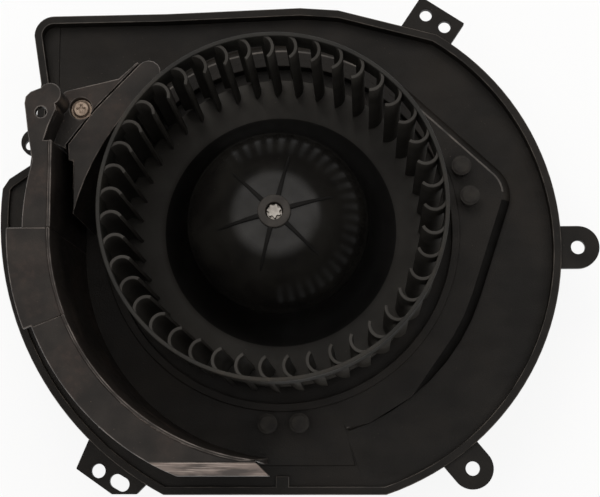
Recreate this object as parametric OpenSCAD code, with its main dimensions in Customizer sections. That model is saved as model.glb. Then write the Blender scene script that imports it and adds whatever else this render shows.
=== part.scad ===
// Blower motor: a bladed wheel on a brush motor, on the base plate of its scroll housing.
// Millimetres. The wheel spins about Z, its inlet faces +Z, and z = 0 is the motor's flat rear face.

/* [Wheel] */
// Outer diameter of the wheel
wheel_d = 160; // [150:1:164]
// Height of the rim above the top of the floor disc
wheel_h = 80; // [60:1:100]
// Number of blades
blade_count = 43; // [20:1:50]
// Radius of a blade's arc in section, on its mid line
blade_r = 5.6; // [4:0.1:7]
// Thickness of a blade
blade_t = 1.5; // [0.8:0.1:1.8]
// Sweep of a blade's arc in section
blade_sweep = 149; // [120:1:165]
// Polar angle of the first blade's arc centre
blade_phase = 2.3; // [0:0.1:8]
// Height of the rim ring
ring_h = 18; // [10:1:30]
// Thickness of the rim ring
ring_t = 1.9; // [1.4:0.1:2.4]
// Radial gap between the rim ring's inside and the floor disc
disc_gap = 1.1; // [0.5:0.1:2]
// Thickness of the floor disc and of the dome
disc_t = 2.2; // [1.6:0.1:3]
// Diameter of the dome where it meets the floor disc
dome_base_d = 116; // [110:1:124]
// Diameter of the dome at its shoulder
dome_shoulder_d = 88; // [86:1:96]
// Height of the dome's shoulder above the floor disc
dome_shoulder_h = 25; // [20:1:30]
// Height of the dome's top above the floor disc
dome_top_h = 60; // [54:1:64]
// Diameter of the hub
hub_d = 15.4; // [12:0.2:20]
// Length of the hub
hub_len = 20; // [14:1:22]
// Height of the hub's end above the dome's top
hub_rise = 2; // [1:0.5:6]
// Number of ribs on the dome's top
rib_count = 6; // [3:1:8]
// Thickness of a rib
rib_t = 1.2; // [0.8:0.1:2]
// Height of a rib above the dome
rib_rise = 1.5; // [0.5:0.1:3]
// Reach of a rib from the axis
rib_reach = 28; // [18:1:34]

/* [Base plate] */
// Height of the plate's low floor above the motor's rear face
floor_z = 40; // [39:0.5:50]
// Thickness of the plate's walls and floors
plate_t = 2.5; // [2:0.1:3]
// Gap between the plate's low floor and the wheel's floor disc
disc_clear = 7.8; // [7.8:0.1:9]
// Rise of the pad above the low floor
pad_rise = 6; // [5:0.5:8]
// Rise of the sill round the pad above the low floor
sill_rise = 4.5; // [3.5:0.5:4.5]
// Rise of the lip above the low floor
lip_rise = 7.5; // [7:0.5:10]
// Thickness of the lip
lip_t = 4; // [3:0.5:6]
// Radius of the plate's right-hand edge
right_r = 128; // [126:0.5:130]
// Radius of the plate's left-hand edge
left_r = 155.5; // [154:0.5:158]
// Radial gap between the wheel and the recess round it
recess_gap = 5; // [3:0.5:5]
// Width of the collar round the recess
collar_w = 4; // [3:0.5:4]
// Clearance between the motor and the plate's opening
motor_gap = 8; // [4:1:14]
// Radius of the large screw holes in the ears
ear_hole_r = 3.5; // [2.5:0.1:4]
// Radius of the paired screw holes in the upper ear
pair_hole_r = 3.1; // [2:0.1:3.5]
// Thickness of an ear
ear_t = 4; // [3:0.5:5]

/* [Cut-off wall] */
// Height of the wall's flange above the wheel's rim
wall_over = 2; // [0:0.5:6]
// Radius of the wall's inner face about its own centre
wall_r = 102; // [101:0.5:104]
// Lean of the wall's inner face, from its foot to its top
wall_draft = 3; // [0:0.5:4]
// Thickness of the wall and its shells
wall_t = 3; // [2:0.1:4]
// Drop of the tongue's top below the flange
tongue_drop = 20; // [10:1:40]
// Drop of the web below the tongue's top
web_drop = 4; // [2:0.5:8]
// Step between neighbouring lengths of the flange
flange_step = 1; // [0.5:0.1:1.5]

/* [Motor] */
// Diameter of the motor's can
can_d = 72; // [70:0.5:74]
// Thickness of the can's sheet
can_t = 2; // [1.5:0.1:2.5]
// Height of the can's front face above the motor's rear face
can_top_z = 80; // [78:0.5:84]
// Diameter of the shaft
shaft_d = 8; // [6:0.1:8.6]
// Running clearance of the shaft in its bearings, on the radius
shaft_fit = 0.03; // [0.01:0.01:0.08]
// Diameter of a bearing's ball shape
bearing_d = 18; // [16:0.5:19]
// Length of a bearing
bearing_len = 8; // [6:0.5:9]
// Thickness of a field magnet
magnet_t = 6.5; // [5:0.1:8]
// Length of a field magnet
magnet_len = 42; // [30:1:44]
// Angle that a field magnet covers
magnet_arc = 130; // [100:1:140]
// Air gap between magnets and armature
air_gap = 1; // [0.6:0.1:2]
// Length of the armature's core
core_len = 34; // [24:1:36]
// Number of slots in the armature's core, and of commutator bars
slot_count = 12; // [8:1:14]
// Diameter of the commutator
commutator_d = 22; // [20:0.5:23]
// Width of a brush, along the commutator's edge
brush_w = 6.4; // [5:0.1:8]
// Length of a brush when new
brush_len = 10.5; // [8:0.5:12]
// Outer radius of a brush's rolled spring
roll_r = 3.2; // [2.4:0.1:3.4]
// Thickness of the rear cap's floor
cap_floor_t = 3; // [2:0.5:4]
// Thickness of the rear cap's walls
cap_t = 2.35; // [1.8:0.05:3]

/* [Suspension] */
// Distance of the isolators from the axis
isolator_r = 95; // [94.8:0.1:95.4]
// Distance between the two heads of an isolator
head_pitch = 15.5; // [14:0.1:17]
// Diameter of an isolator's head
head_d = 8.8; // [8:0.1:9.4]
// Height of an isolator's head above the pad
head_h = 9; // [5:0.5:10]
// Height of the motor bracket above the motor's rear face
bracket_z = 26; // [24:0.5:28]
// Thickness of the bracket's sheet
bracket_t = 2; // [1.5:0.1:2.5]

/* [Connector] */
// Direction in which the connector points
connector_angle = 90; // [75:1:100]
// Width of the connector
connector_w = 22; // [20:0.5:26]
// Reach of the connector beyond the cap
connector_reach = 21; // [16:0.5:26]

/* [Hidden] */
$fn = 72;
eps = 0.01;
big = 400;
touch_gap = 0.15;
arc_steps = 8;
slide_gap = 0.3;

// Levels
floor_under_z = floor_z - plate_t;
pad_z = floor_z + pad_rise;
pad_under_z = pad_z - plate_t;
sill_z = floor_z + sill_rise;
lip_z = floor_z + lip_rise;
disc_under_z = floor_z + disc_clear;
disc_z = disc_under_z + disc_t;
rim_z = disc_z + wheel_h;
flange_z = rim_z + wall_over;
tongue_z = flange_z - tongue_drop;
web_z = tongue_z - web_drop;

// Wheel
wheel_r = wheel_d / 2;
ring_in_r = wheel_r - ring_t;
disc_r = ring_in_r - disc_gap;
blade_out_r = wheel_r - ring_t / 2;
blade_centre_r = blade_out_r - blade_r;
blade_drop = 1;
blade_foot_z = disc_z - disc_t / 2;
blade_top_z = rim_z - blade_drop;
dome_base_r = dome_base_d / 2;
dome_shoulder_r = dome_shoulder_d / 2;
hub_r = hub_d / 2;
hub_z = disc_z + dome_top_h + hub_rise;
shaft_r = shaft_d / 2;
dome_steps = 10;
hub_lap = 1;
rib_phase = 16;

// Plate
right_c = [11, -8];
left_c = [14.5, 8.5];
split_x = 20;
split_lap = 1;
bottom_y = -129.4;
top_slope_end = [150, 81.7];
top_bend = [28.8, 114];
top_crest = [9.5, 115.4];
top_left_bend = [-58, 113];
outlet_corner = [-116, 102.4];
outlet_corner_r = 10;
left_waist = [-122, 77];
left_shoulder = [-126.7, 35];
left_knee = [-137, 28.2];
left_hip = [-145, 16];
recess_r = wheel_r + recess_gap;
collar_r = recess_r + collar_w;
pad_ring_w = 8.2;
pad_ring_r = collar_r + pad_ring_w;
pad_strip = 10;
pad_margin = lip_t + pad_strip;
pad_start = [-56, 77];
pad_over = 3.4;
pad_lobe_r = 104;
pad_lobe_start_angle = -72;
pad_lobe_end_angle = -18;
pad_corner_c = [96.5, 18.8];
pad_corner_r = 18;
pad_corner_start_angle = -19;
pad_corner_end_angle = 47.3;
ramp_start_angle = pad_lobe_start_angle;
ramp_end_angle = -20;
ramp_steps = 13;
ear_rise = 5;
ear_top_z = floor_z + ear_rise;
right_ear_angle = 0.1;
right_ear_over = 8.4;
right_ear = right_c + (right_r + right_ear_over) * [cos(right_ear_angle), sin(right_ear_angle)];
right_ear_r = 10.6;
right_ear_reach = 14;
low_ear_angle = -52.7;
low_ear_over = 8.6;
low_ear = right_c + (right_r + low_ear_over) * [cos(low_ear_angle), sin(low_ear_angle)];
low_ear_r = 10.2;
low_ear_turn = 130;
low_ear_reach = 18;
corner_angle = 230.43;
corner_over = 8.2;
corner_hole = left_c + (left_r + corner_over) * [cos(corner_angle), sin(corner_angle)];
corner_ear = [[-2.2, 19.7], [-5, 15.5], [-11.1, 1.1], [6.8, -11.4], [18.9, -11.4], [24.9, -5.4],
  [25.8, 2.7]];
corner_slot = corner_hole + [10.5, -5.8];
corner_slot_turn = -30;
corner_slot_len = 3.2;
pair_angle = 60.1;
pair_over = 6.4;
pair_mid = right_c + (right_r + pair_over) * [cos(pair_angle), sin(pair_angle)];
pair_pitch = 11.26;
pair_turn = -33.4;
pair_ear = [26, 36];
pair_ear_over = 7;
side_ear = left_shoulder + [1.7, 12.5];
side_ear_r = 7;
side_hole = side_ear + [-2.5, -1.5];
side_hole_r = 2.5;
lug = [6.6, 5];
lug_x = 1;
outlet_step = 0.8;
outlet_step_x = -114;
back_rib_count = 12;
back_rib_t = 2;
back_rib_drop = 3.5;

// Cut-off wall
wall_c = [4.5, -10];
wall_out_r = wall_r + wall_t;
tower_t = 2.2;
wall_start_angle = 180;
flange_seam_angle = 202;
seam_angle = 0.3;
wall_end_angle = 264;
wall_straight = 40.5;
rim_w = 1.6;
rim_rise = 0.8;
flange_r = 121;
low_flange_r = 125;
flange_start_r = 118;
tail_lead_angle = 26;
tail_h = 12;
tail_flat_y = -115;
tail_edge_y = -121.5;
tail_drop = 7;
tail_end = [-9.7, -112.6];
tail_end_turn = 44.3;
tail_over_angle = 6;
tongue_tip = [-59, 66];
tongue_tip_r = 5.8;
tongue_tip_angles = [-46.4, 133.6];
tongue_c = [21.8, -28.2];
tongue_r = 118.1;
tongue_angles = [166.4, 132.7];
tongue_back = [[-72.5, 60.3], [-83.8, 48.4], [-96.1, 32.1], [-95.8, 24.4], [-93.6, 24.1], [-93.4, -1]];
groove_w = 1.7;
groove_depth = 7;
web_edge = [[-73.6, 64.2], [-98.3, 58.5]];
web_tip = [-64.8, 72.2];
web_inner = [-80, 38];
web_back = [[-103, 54], [-104, 34], [-97.3, 30.2]];
strip_z = flange_z - 2 * flange_step;
ear_z = strip_z - rim_rise;
ear_outline = [[-101.5, 57.1], [-105.4, 55.3], [-110.9, 53.2], [-113.2, 50.9], [-113.6, 47.6], [-113, 43.4],
  [-111.9, 35], [-110.3, 25.7], [-109.4, 20], [-104, 20], [-104.4, 30.6], [-102.4, 37.2], [-99, 45.1]];
ear_hole = [-105.9, 43.6];
wall_ear_t = 4;
wall_ear_hole_r = 2.6;
ear_post = [-102, 52];
ear_post_r = 5.2;
skirt_t = 3.2;
ear_skirt = [[-106, 31.2], [-104, 37.9], [-100.7, 45.7], ear_post];
boss = [-91.2, 50];
boss_r = 7;
boss_bore_r = 5.2;
boss_depth = 4.2;
boss_floor_t = 5.2;
post_r = 4.4;
boss_floor_z = web_z - boss_depth;
post_z = boss_floor_z - boss_floor_t;
pan_taper = 0.8;
cut_screw_r = 2.4;
cut_head_r = 5;
cut_head_h = 3.4;
cut_washer_t = 1.2;
cut_dome_r = 4.2;
cut_cross_w = 1.1;
cut_cross_depth = 1.2;
cut_screw_len = 20;
foot_angles = [196, 236];
foot_r = 5;
foot_lap = 1;
foot_ring_r = wall_out_r + foot_r - foot_lap;
foot_h = 24;
foot_screw_r = 2;
foot_screw_len = 16;
foot_head_r = 3.8;
foot_head_h = 2.8;

// Motor
can_r = can_d / 2;
can_in_r = can_r - can_t;
can_seat = 0.5;
can_bottom_z = cap_floor_t + can_seat;
bearing_r = bearing_d / 2;
bearing_fit = 0.2;
seat_r = bearing_r + bearing_fit;
seat_t = 2;
felt_t = 2;
felt_clear = 0.5;
felt_in_r = shaft_r + felt_clear;
front_bearing_z = can_top_z - can_t;
boss_inner_z = front_bearing_z + bearing_len + felt_t;
nose_t = 1.5;
boss_top_z = boss_inner_z + nose_t;
boss_out_r = seat_r + seat_t;
nose_clear = 1;
nose_bore_r = shaft_r + nose_clear;
bearing_bore_r = shaft_r + shaft_fit;
rear_felt_t = 1.5;
rear_bearing_z = cap_floor_t + rear_felt_t;
rear_seat_z = rear_bearing_z + bearing_len;
retainer_t = 0.6;
retainer_clear = 2;
retainer_in_r = shaft_r + retainer_clear;
retainer_over = 3;
cap_r = can_r + touch_gap + cap_t;
cap_depth = 11;
cap_wall_z = cap_floor_t + cap_depth;
cap_edge = 2;
spigot_r = can_in_r - touch_gap;
card_rise = 9;
card_z = cap_floor_t + card_rise;
card_t = 1.5;
card_top_z = card_z + card_t;
card_clear = 1.2;
card_hole_r = seat_r + seat_t + card_clear;
vent_count = 4;
vent_arc = 50;
vent_in_r = 17;
vent_out_r = 28;
magnet_in_r = can_in_r - magnet_t;
magnet_lift = 35.5;
magnet_mid_z = card_top_z + magnet_lift;
magnet_z = magnet_mid_z - magnet_len / 2;
clip_t = 0.8;
clip_h = 26;
clip_lip = 3.5;
clip_clear = 0.5;
core_r = magnet_in_r - air_gap;
core_z = magnet_mid_z - core_len / 2;
core_top_z = core_z + core_len;
slot_w = 4.6;
slot_in_r = 12.5;
tooth_t = 1.6;
slot_out_r = core_r - tooth_t;
slot_mouth = 2;
coil_gap = 0.2;
winding_inset = 1;
winding_r = slot_out_r - winding_inset;
winding_clear = 4.6;
winding_in_r = shaft_r + winding_clear;
winding_h = 6.5;
commutator_r = commutator_d / 2;
bar_t = 3;
sleeve_r = commutator_r - bar_t;
washer_t = 1;
washer_w = 3;
washer_r = shaft_r + washer_w;
end_play = 0.3;
sleeve_z = rear_seat_z + retainer_t + end_play + washer_t;
bar_inset = 0.4;
bar_z = sleeve_z + bar_inset;
bar_len = 10.4;
bar_slit = 0.7;
brush_h = 8;
brush_gap = 0.1;
brush_in_r = commutator_r + brush_gap;
brush_lead = 2;
holder_t = 0.7;
holder_lead = 1.2;
holder_in_r = commutator_r + holder_lead;
holder_inset = 2;
holder_out_r = can_in_r - holder_inset;
holder_h = brush_h + 2 * slide_gap + 2 * holder_t;
holder_w = brush_w + 2 * slide_gap + 2 * holder_t;
brush_z = card_top_z + holder_t + slide_gap;
roll_c_r = brush_in_r + brush_len + roll_r;
roll_t = 0.5;
roll_inset = 1;
choke_angles = [90, 215];
choke_r = 2.8;
choke_len = 14;
choke_ring_r = 24;
choke_core_r = 1.8;
choke_core_len = 18;
cap_screw_angles = [25, 145, 265];
cap_screw_rise = 6;
cap_screw_z = cap_floor_t + cap_screw_rise;
cap_screw_r = 1.5;
cap_screw_head_r = 2.8;
cap_screw_head_h = 1.6;
shaft_bottom_z = cap_floor_t + end_play;
shaft_rise = 0.2;
shaft_top_z = hub_z + shaft_rise;
shaft_chamfer = 1;

// Suspension
isolator_angles = [15, -89, 151];
isolator_over = 11.5;
isolator_l = head_pitch + isolator_over;
isolator_w = 11;
neck_r = 3.4;
neck_gap = 0.1;
head_r = head_d / 2;
head_round = 0.7;
leg_over = 6;
leg_w = isolator_l + leg_over;
leg_tip = 4;
leg_end_r = isolator_r + isolator_w / 2 + leg_tip;
leg_flange_h = 5;
leg_flange_gap = 2;
leg_flange_end_r = isolator_r - isolator_w / 2 - leg_flange_gap;
band_h = 10;
bracket_seam_angle = 60;
band_t = bracket_t;
band_r = can_r + touch_gap;
bracket_ring_w = 14;
bracket_ring_r = band_r + bracket_ring_w;
leg_flange_lap = 3;
leg_flange_r = bracket_ring_r - leg_flange_lap;
bracket_screw_r = 2.5;
bracket_head_r = 5;
bracket_head_h = 4;
bracket_screw_len = 10;

// Connector
connector_h = 13;
connector_z = can_bottom_z;
connector_clear = 1.5;
connector_inset = 0.5;
connector_in_r = can_in_r + connector_inset;
connector_out_r = cap_r + connector_reach;
connector_wall = 1.6;
connector_back = 3.5;
connector_back_r = cap_r + connector_back;
terminal_w = 6.3;
terminal_t = 0.8;
terminal_pitch = 9;
terminal_tail = 4;
terminal_in_r = can_in_r - terminal_tail;
terminal_inset = 4;
terminal_out_r = connector_out_r - terminal_inset;
terminal_z = connector_z + connector_h / 2 - terminal_t / 2;

// Points of an arc about c
function arc(c, r, from, to, n) =
  [for (i = [0:n]) let (a = from + (to - from) * i / n) c + r * [cos(a), sin(a)]];

// A plain ring from z to z + h
module ring(out_r, in_r, z, h) {
  translate([0, 0, z]) difference() {
    cylinder(r = out_r, h = h);
    translate([0, 0, -eps]) cylinder(r = in_r, h = h + 2 * eps);
  }
}

// A length of revolved section, between two angles
module swept(from, to) {
  rotate([0, 0, from]) rotate_extrude(angle = to - from) children();
}

// A radial hole or screw shank at a polar angle, from radius r0 to r1
module radial(angle, z, r, r0, r1) {
  rotate([0, 0, angle]) translate([r0, 0, z]) rotate([0, 90, 0]) cylinder(r = r, h = r1 - r0);
}

// Wheel

// Half section of the dome's skin, let down by the given depth
function dome_line(depth) = let (
    shoulder_r = dome_shoulder_r - depth,
    shoulder_z = dome_shoulder_h,
    top_z = dome_top_h - depth
  ) concat(
    [for (i = [0:dome_steps]) let (t = 90 * i / dome_steps)
      [shoulder_r + (dome_base_r - dome_shoulder_r) * (1 - sin(t)),
       -depth + (shoulder_z + depth) * (1 - cos(t))]],
    [for (i = [1:dome_steps]) let (t = 90 * i / dome_steps)
      [hub_r - hub_lap + (shoulder_r - hub_r + hub_lap) * cos(t),
       shoulder_z + (top_z - shoulder_z) * sin(t)]]
  );

// Section between two lines that run the same way
module skin_section(outer, inner) {
  count = len(inner) - 1;
  polygon(concat(outer, [for (i = [0:count]) inner[count - i]]));
}

module dome() {
  translate([0, 0, disc_z]) rotate_extrude() skin_section(dome_line(0), dome_line(disc_t));
}

// Ribs stand on the dome and follow its curve
module dome_ribs() {
  intersection() {
    translate([0, 0, disc_z]) rotate_extrude() skin_section(dome_line(-rib_rise), dome_line(disc_t / 2));
    for (i = [0:rib_count - 1]) rotate([0, 0, rib_phase + 360 * i / rib_count])
      translate([hub_r - hub_lap, -rib_t / 2, disc_z]) cube([rib_reach - hub_r + hub_lap, rib_t, wheel_h]);
  }
}

// Section of one blade: an arc that bulges clockwise and ends inside the rim ring
module blade_section() {
  reach = 3 * blade_r;
  translate([blade_centre_r, 0]) intersection() {
    difference() {
      circle(r = blade_r + blade_t / 2);
      circle(r = blade_r - blade_t / 2);
    }
    polygon([[0, 0], [reach, 0], [reach, -reach], [0, -reach], [-reach, -reach],
      reach * [cos(blade_sweep), -sin(blade_sweep)]]);
  }
}

module blades() {
  for (i = [0:blade_count - 1]) rotate([0, 0, blade_phase + 360 * i / blade_count])
    translate([0, 0, blade_foot_z]) linear_extrude(blade_top_z - blade_foot_z) blade_section();
}

module blower_wheel() {
  color("#2a2a28") difference() {
    union() {
      ring(wheel_r, ring_in_r, rim_z - ring_h, ring_h);
      blades();
      ring(disc_r, dome_base_r - disc_t, disc_under_z, disc_t);
      dome();
      dome_ribs();
      translate([0, 0, hub_z - hub_len]) cylinder(r = hub_r, h = hub_len);
    }
    translate([0, 0, hub_z - hub_len - eps]) cylinder(r = shaft_r, h = hub_len + 2 * eps);
  }
}

// Base plate

// Straight edges of the plate, moved in by d
function plate_edges(d) = concat(
  [[-big, bottom_y + d], [big, bottom_y + d], [big, top_slope_end[1] - d], top_slope_end - [0, d],
   top_bend - [0, d], top_crest - [0, d], top_left_bend - [0, d]],
  arc(outlet_corner, outlet_corner_r - d, 90, 180, arc_steps),
  [left_waist + [d, 0], left_shoulder + [d, -d / 2], left_knee + [d / 2, -d], left_hip + [0, -d],
   [-big, left_hip[1] - d]]
);

module plate_outline(d) {
  intersection() {
    union() {
      intersection() {
        translate(right_c) circle(r = right_r - d);
        translate([split_x, -big]) square([big, 2 * big]);
      }
      intersection() {
        translate(left_c) circle(r = left_r - d);
        translate([split_x + split_lap - big, -big]) square([big, 2 * big]);
      }
      translate([-big, left_knee[1] - split_lap]) square([big, big]);
    }
    polygon(plate_edges(d));
  }
}

// Side of the plate that the cut-off wall stands on
module left_side(d) {
  over = [0, pad_over - d];
  polygon([[0, 0], pad_start - [0, d], web_edge[0] + over, web_edge[1] + over,
    [-big, web_edge[1][1] + over[1]], [-big, -big],
    big * [cos(pad_lobe_start_angle), sin(pad_lobe_start_angle)]]);
}

module pad_outline(d) {
  intersection() {
    plate_outline(lip_t);
    union() {
      circle(r = pad_ring_r - d);
      polygon(concat([[0, 0]],
        arc([0, 0], pad_lobe_r - d, pad_lobe_start_angle, pad_lobe_end_angle, arc_steps),
        arc(pad_corner_c, pad_corner_r - d, pad_corner_start_angle, pad_corner_end_angle, arc_steps),
        [(pad_ring_r - d) * [cos(pad_corner_end_angle), sin(pad_corner_end_angle)]]));
      intersection() {
        plate_outline(pad_margin + d);
        left_side(d);
      }
    }
  }
}

module sill_outline(d) {
  intersection() {
    plate_outline(lip_t / 2 + d);
    left_side(d);
  }
}

// Floor that falls from the sill to the low floor as it goes round
module ramp() {
  inner = collar_r + plate_t / 2;
  outer = right_r + norm(right_c) + plate_t;
  depth = plate_t / 2;
  function top(i) = floor_z + sill_rise * (1 - i / ramp_steps);
  step = (ramp_end_angle - ramp_start_angle) / ramp_steps;
  points = [for (i = [0:ramp_steps]) let (a = ramp_start_angle + step * i)
    each [[inner * cos(a), inner * sin(a), floor_z - depth],
          [outer * cos(a), outer * sin(a), floor_z - depth],
          [outer * cos(a), outer * sin(a), top(i)], [inner * cos(a), inner * sin(a), top(i)]]];
  sides = [for (i = [0:ramp_steps - 1]) for (k = [0:3]) let (a = 4 * i + k, b = 4 * i + (k + 1) % 4)
    each [[a, b, a + 4], [b, b + 4, a + 4]]];
  last = 4 * ramp_steps;
  intersection() {
    polyhedron(points, concat(sides, [[3, 2, 1, 0], [last, last + 1, last + 2, last + 3]]));
    translate([0, 0, floor_under_z]) linear_extrude(pad_z) plate_outline(lip_t / 2);
  }
}

// Rounded tab that reaches from an ear's hole back into the plate
module ear_tab(r, turn, reach) {
  circle(r = r);
  rotate([0, 0, turn]) translate([0, -r]) square([reach, 2 * r]);
}

module ears() {
  translate([0, 0, ear_top_z - ear_t]) linear_extrude(ear_t) difference() {
    union() {
      translate(right_ear) ear_tab(right_ear_r, 180, right_ear_reach);
      translate(low_ear) ear_tab(low_ear_r, low_ear_turn, low_ear_reach);
      translate(side_ear) circle(r = side_ear_r);
      translate(pair_mid) rotate([0, 0, pair_turn])
        translate([-pair_ear[0] / 2, pair_ear_over - pair_ear[1]]) square(pair_ear);
      translate(corner_hole) polygon(corner_ear);
    }
    plate_outline(lip_t / 2);
  }
}

module ear_hole_cut(p, r) {
  translate([p[0], p[1], floor_under_z]) cylinder(r = r, h = lip_z);
}

module ear_holes() {
  ear_hole_cut(right_ear, ear_hole_r);
  ear_hole_cut(low_ear, ear_hole_r);
  ear_hole_cut(corner_hole, ear_hole_r);
  ear_hole_cut(side_hole, side_hole_r);
  translate(pair_mid) rotate([0, 0, pair_turn]) for (s = [-1, 1])
    ear_hole_cut([s * pair_pitch / 2, 0], pair_hole_r);
  translate(corner_slot) rotate([0, 0, corner_slot_turn]) {
    for (s = [-1, 1]) ear_hole_cut([s * corner_slot_len / 2, 0], ear_hole_r);
    translate([-corner_slot_len / 2, -ear_hole_r, floor_under_z])
      cube([corner_slot_len, 2 * ear_hole_r, lip_z]);
  }
}

// Places of an isolator's two heads, for the isolator at the given polar angle
module at_heads(angle) {
  rotate([0, 0, angle]) for (s = [-1, 1]) translate([isolator_r, s * head_pitch / 2, 0]) children();
}

// Places of the screws that hold the wall from below
module at_feet() {
  for (a = foot_angles) translate(wall_c + foot_ring_r * [cos(a), sin(a)]) children();
}

module base_plate() {
  motor_hole_r = can_r + motor_gap;
  color("#232120") difference() {
    union() {
      difference() {
        union() {
          translate([0, 0, floor_under_z]) linear_extrude(plate_t) plate_outline(0);
          ramp();
          translate([0, 0, floor_under_z]) linear_extrude(sill_z - floor_under_z) sill_outline(0);
          translate([0, 0, floor_under_z]) linear_extrude(pad_z - floor_under_z) pad_outline(0);
        }
        difference() {
          union() {
            translate([0, 0, floor_under_z - eps])
              linear_extrude(sill_rise + eps) sill_outline(plate_t);
            translate([0, 0, floor_under_z - eps]) linear_extrude(pad_rise + eps) pad_outline(plate_t);
          }
          cylinder(r = collar_r, h = pad_z);
        }
        translate([0, 0, floor_z]) cylinder(r = recess_r, h = pad_z);
      }
      translate([0, 0, floor_under_z]) linear_extrude(lip_z - floor_under_z) difference() {
        plate_outline(0);
        plate_outline(lip_t);
      }
      ring(collar_r, recess_r, floor_under_z, lip_z - floor_under_z);
      ears();
      translate([0, 0, floor_z - eps]) linear_extrude(outlet_step) intersection() {
        plate_outline(lip_t / 2);
        translate([outlet_step_x - big, left_waist[1]]) square([big, big]);
      }
      translate([lug_x - lug[0] / 2, bottom_y, floor_under_z])
        cube([lug[0], lug[1] + lip_t, lip_z - floor_under_z]);
      for (i = [0:back_rib_count - 1]) rotate([0, 0, 360 * i / back_rib_count])
        translate([motor_hole_r + back_rib_t, -back_rib_t / 2, floor_under_z - back_rib_drop])
          cube([recess_r - motor_hole_r, back_rib_t, back_rib_drop + eps]);
      ring(motor_hole_r + 2 * plate_t, motor_hole_r,
        floor_under_z - back_rib_drop, back_rib_drop + plate_t);
      translate([boss[0], boss[1], pad_under_z]) cylinder(r = post_r, h = post_z - pad_under_z);
    }
    translate([0, 0, floor_under_z - back_rib_drop - eps]) cylinder(r = motor_hole_r, h = pad_z);
    ear_holes();
    for (a = isolator_angles) at_heads(a)
      translate([0, 0, floor_under_z]) cylinder(r = neck_r + neck_gap, h = pad_z);
    at_feet() translate([0, 0, floor_under_z]) cylinder(r = foot_screw_r + neck_gap, h = pad_z);
    translate([boss[0], boss[1], post_z - cut_screw_len])
      cylinder(r = cut_screw_r + neck_gap, h = cut_screw_len + eps);
  }
}

// Cut-off wall

// Section of the wall with its flange and the rim along the inner edge
module wall_section(top, out_r) {
  rim_r = wall_r + wall_draft + rim_w;
  polygon([[wall_r, pad_z], [wall_out_r, pad_z], [wall_out_r + wall_draft, top - wall_t],
    [out_r, top - wall_t], [out_r, top - rim_rise], [rim_r, top - rim_rise], [rim_r, top],
    [wall_r + wall_draft, top]]);
}

// Round length of the wall, clear of the tail's bevel: its flange starts lower and wider
module wall_round() {
  low_z = flange_z - flange_step;
  root_r = wall_out_r + wall_draft - wall_t / 2;
  intersection() {
    translate(wall_c) difference() {
      union() {
        swept(wall_start_angle, wall_end_angle) wall_section(flange_z, flange_r);
        swept(wall_start_angle, flange_seam_angle - seam_angle) translate([root_r, low_z - wall_t])
          square([low_flange_r - root_r, wall_t + flange_step]);
      }
      swept(wall_start_angle - seam_angle, flange_seam_angle) {
        translate([wall_r, low_z]) square([low_flange_r, wall_t]);
        translate([wall_r + wall_draft + rim_w, low_z - rim_rise]) square([low_flange_r, wall_t]);
      }
    }
    translate([-big, tail_flat_y, 0]) cube([2 * big, big, big]);
  }
}

// Straight length that leads from the round wall up to the web
module wall_lead(top) {
  translate(wall_c) intersection() {
    translate([0, wall_straight, 0]) mirror([1, 0, 0]) rotate([90, 0, 0])
      linear_extrude(wall_straight) wall_section(top, flange_start_r);
    cylinder(r = flange_start_r, h = big);
  }
}

// Last length of the flange, bevelled along the plate's bottom edge and cut off at a slant
module tail_block() {
  intersection() {
    translate(wall_c) swept(flange_seam_angle + tail_lead_angle, wall_end_angle + tail_over_angle)
      translate([wall_r + wall_draft, flange_z - tail_h])
        square([flange_r - wall_r - wall_draft, tail_h - rim_rise]);
    rotate([90, 0, 90]) translate([0, 0, -big / 2]) linear_extrude(big) polygon([
      [tail_flat_y, flange_z], [tail_edge_y, flange_z - tail_drop], [tail_edge_y, 0],
      [0, 0], [0, flange_z]]);
    translate(tail_end) rotate([0, 0, tail_end_turn]) translate([-big, -big, 0]) cube([big, 2 * big, big]);
  }
}

module wall_tail() {
  difference() {
    tail_block();
    translate([0, wall_t, -wall_t]) tail_block();
  }
}

module tongue_outline() {
  tip = arc(tongue_tip, tongue_tip_r, tongue_tip_angles[0], tongue_tip_angles[1], arc_steps);
  inner = arc(tongue_c, tongue_r, tongue_angles[0], tongue_angles[1], arc_steps);
  polygon(concat(tip, tongue_back, inner));
}

module web_outline() {
  polygon(concat(web_edge, web_back, [web_inner, tongue_tip, web_tip]));
}

// Moulded tower of two heights, open below, thick enough for the groove between them
module tower() {
  groove_z = web_z - groove_depth;
  difference() {
    translate([0, 0, pad_z]) {
      linear_extrude(tongue_z - pad_z) tongue_outline();
      linear_extrude(web_z - pad_z) web_outline();
    }
    translate([0, 0, pad_z - eps]) linear_extrude(groove_z - tower_t - pad_z) offset(delta = -tower_t) {
      tongue_outline();
      web_outline();
    }
    translate([0, 0, pad_z]) linear_extrude(web_z - tower_t - pad_z) offset(delta = -tower_t)
      difference() {
        web_outline();
        offset(delta = groove_w) tongue_outline();
      }
  }
}

module groove() {
  translate([0, 0, web_z - groove_depth]) linear_extrude(groove_depth + eps) difference() {
    intersection() {
      web_outline();
      offset(delta = groove_w) tongue_outline();
    }
    tongue_outline();
  }
}

// Ear at the strip's level, held up by a post and a skirt along its inner edge
module wall_ear() {
  skirt_r = skirt_t / 2;
  translate([0, 0, ear_z - wall_ear_t]) linear_extrude(wall_ear_t) polygon(ear_outline);
  translate([ear_post[0], ear_post[1], pad_z]) cylinder(r = ear_post_r, h = ear_z - pad_z);
  translate([0, 0, pad_z]) linear_extrude(ear_z - pad_z) for (i = [1:len(ear_skirt) - 1]) hull() {
    translate(ear_skirt[i - 1]) circle(r = skirt_r);
    translate(ear_skirt[i]) circle(r = skirt_r);
  }
}

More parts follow.
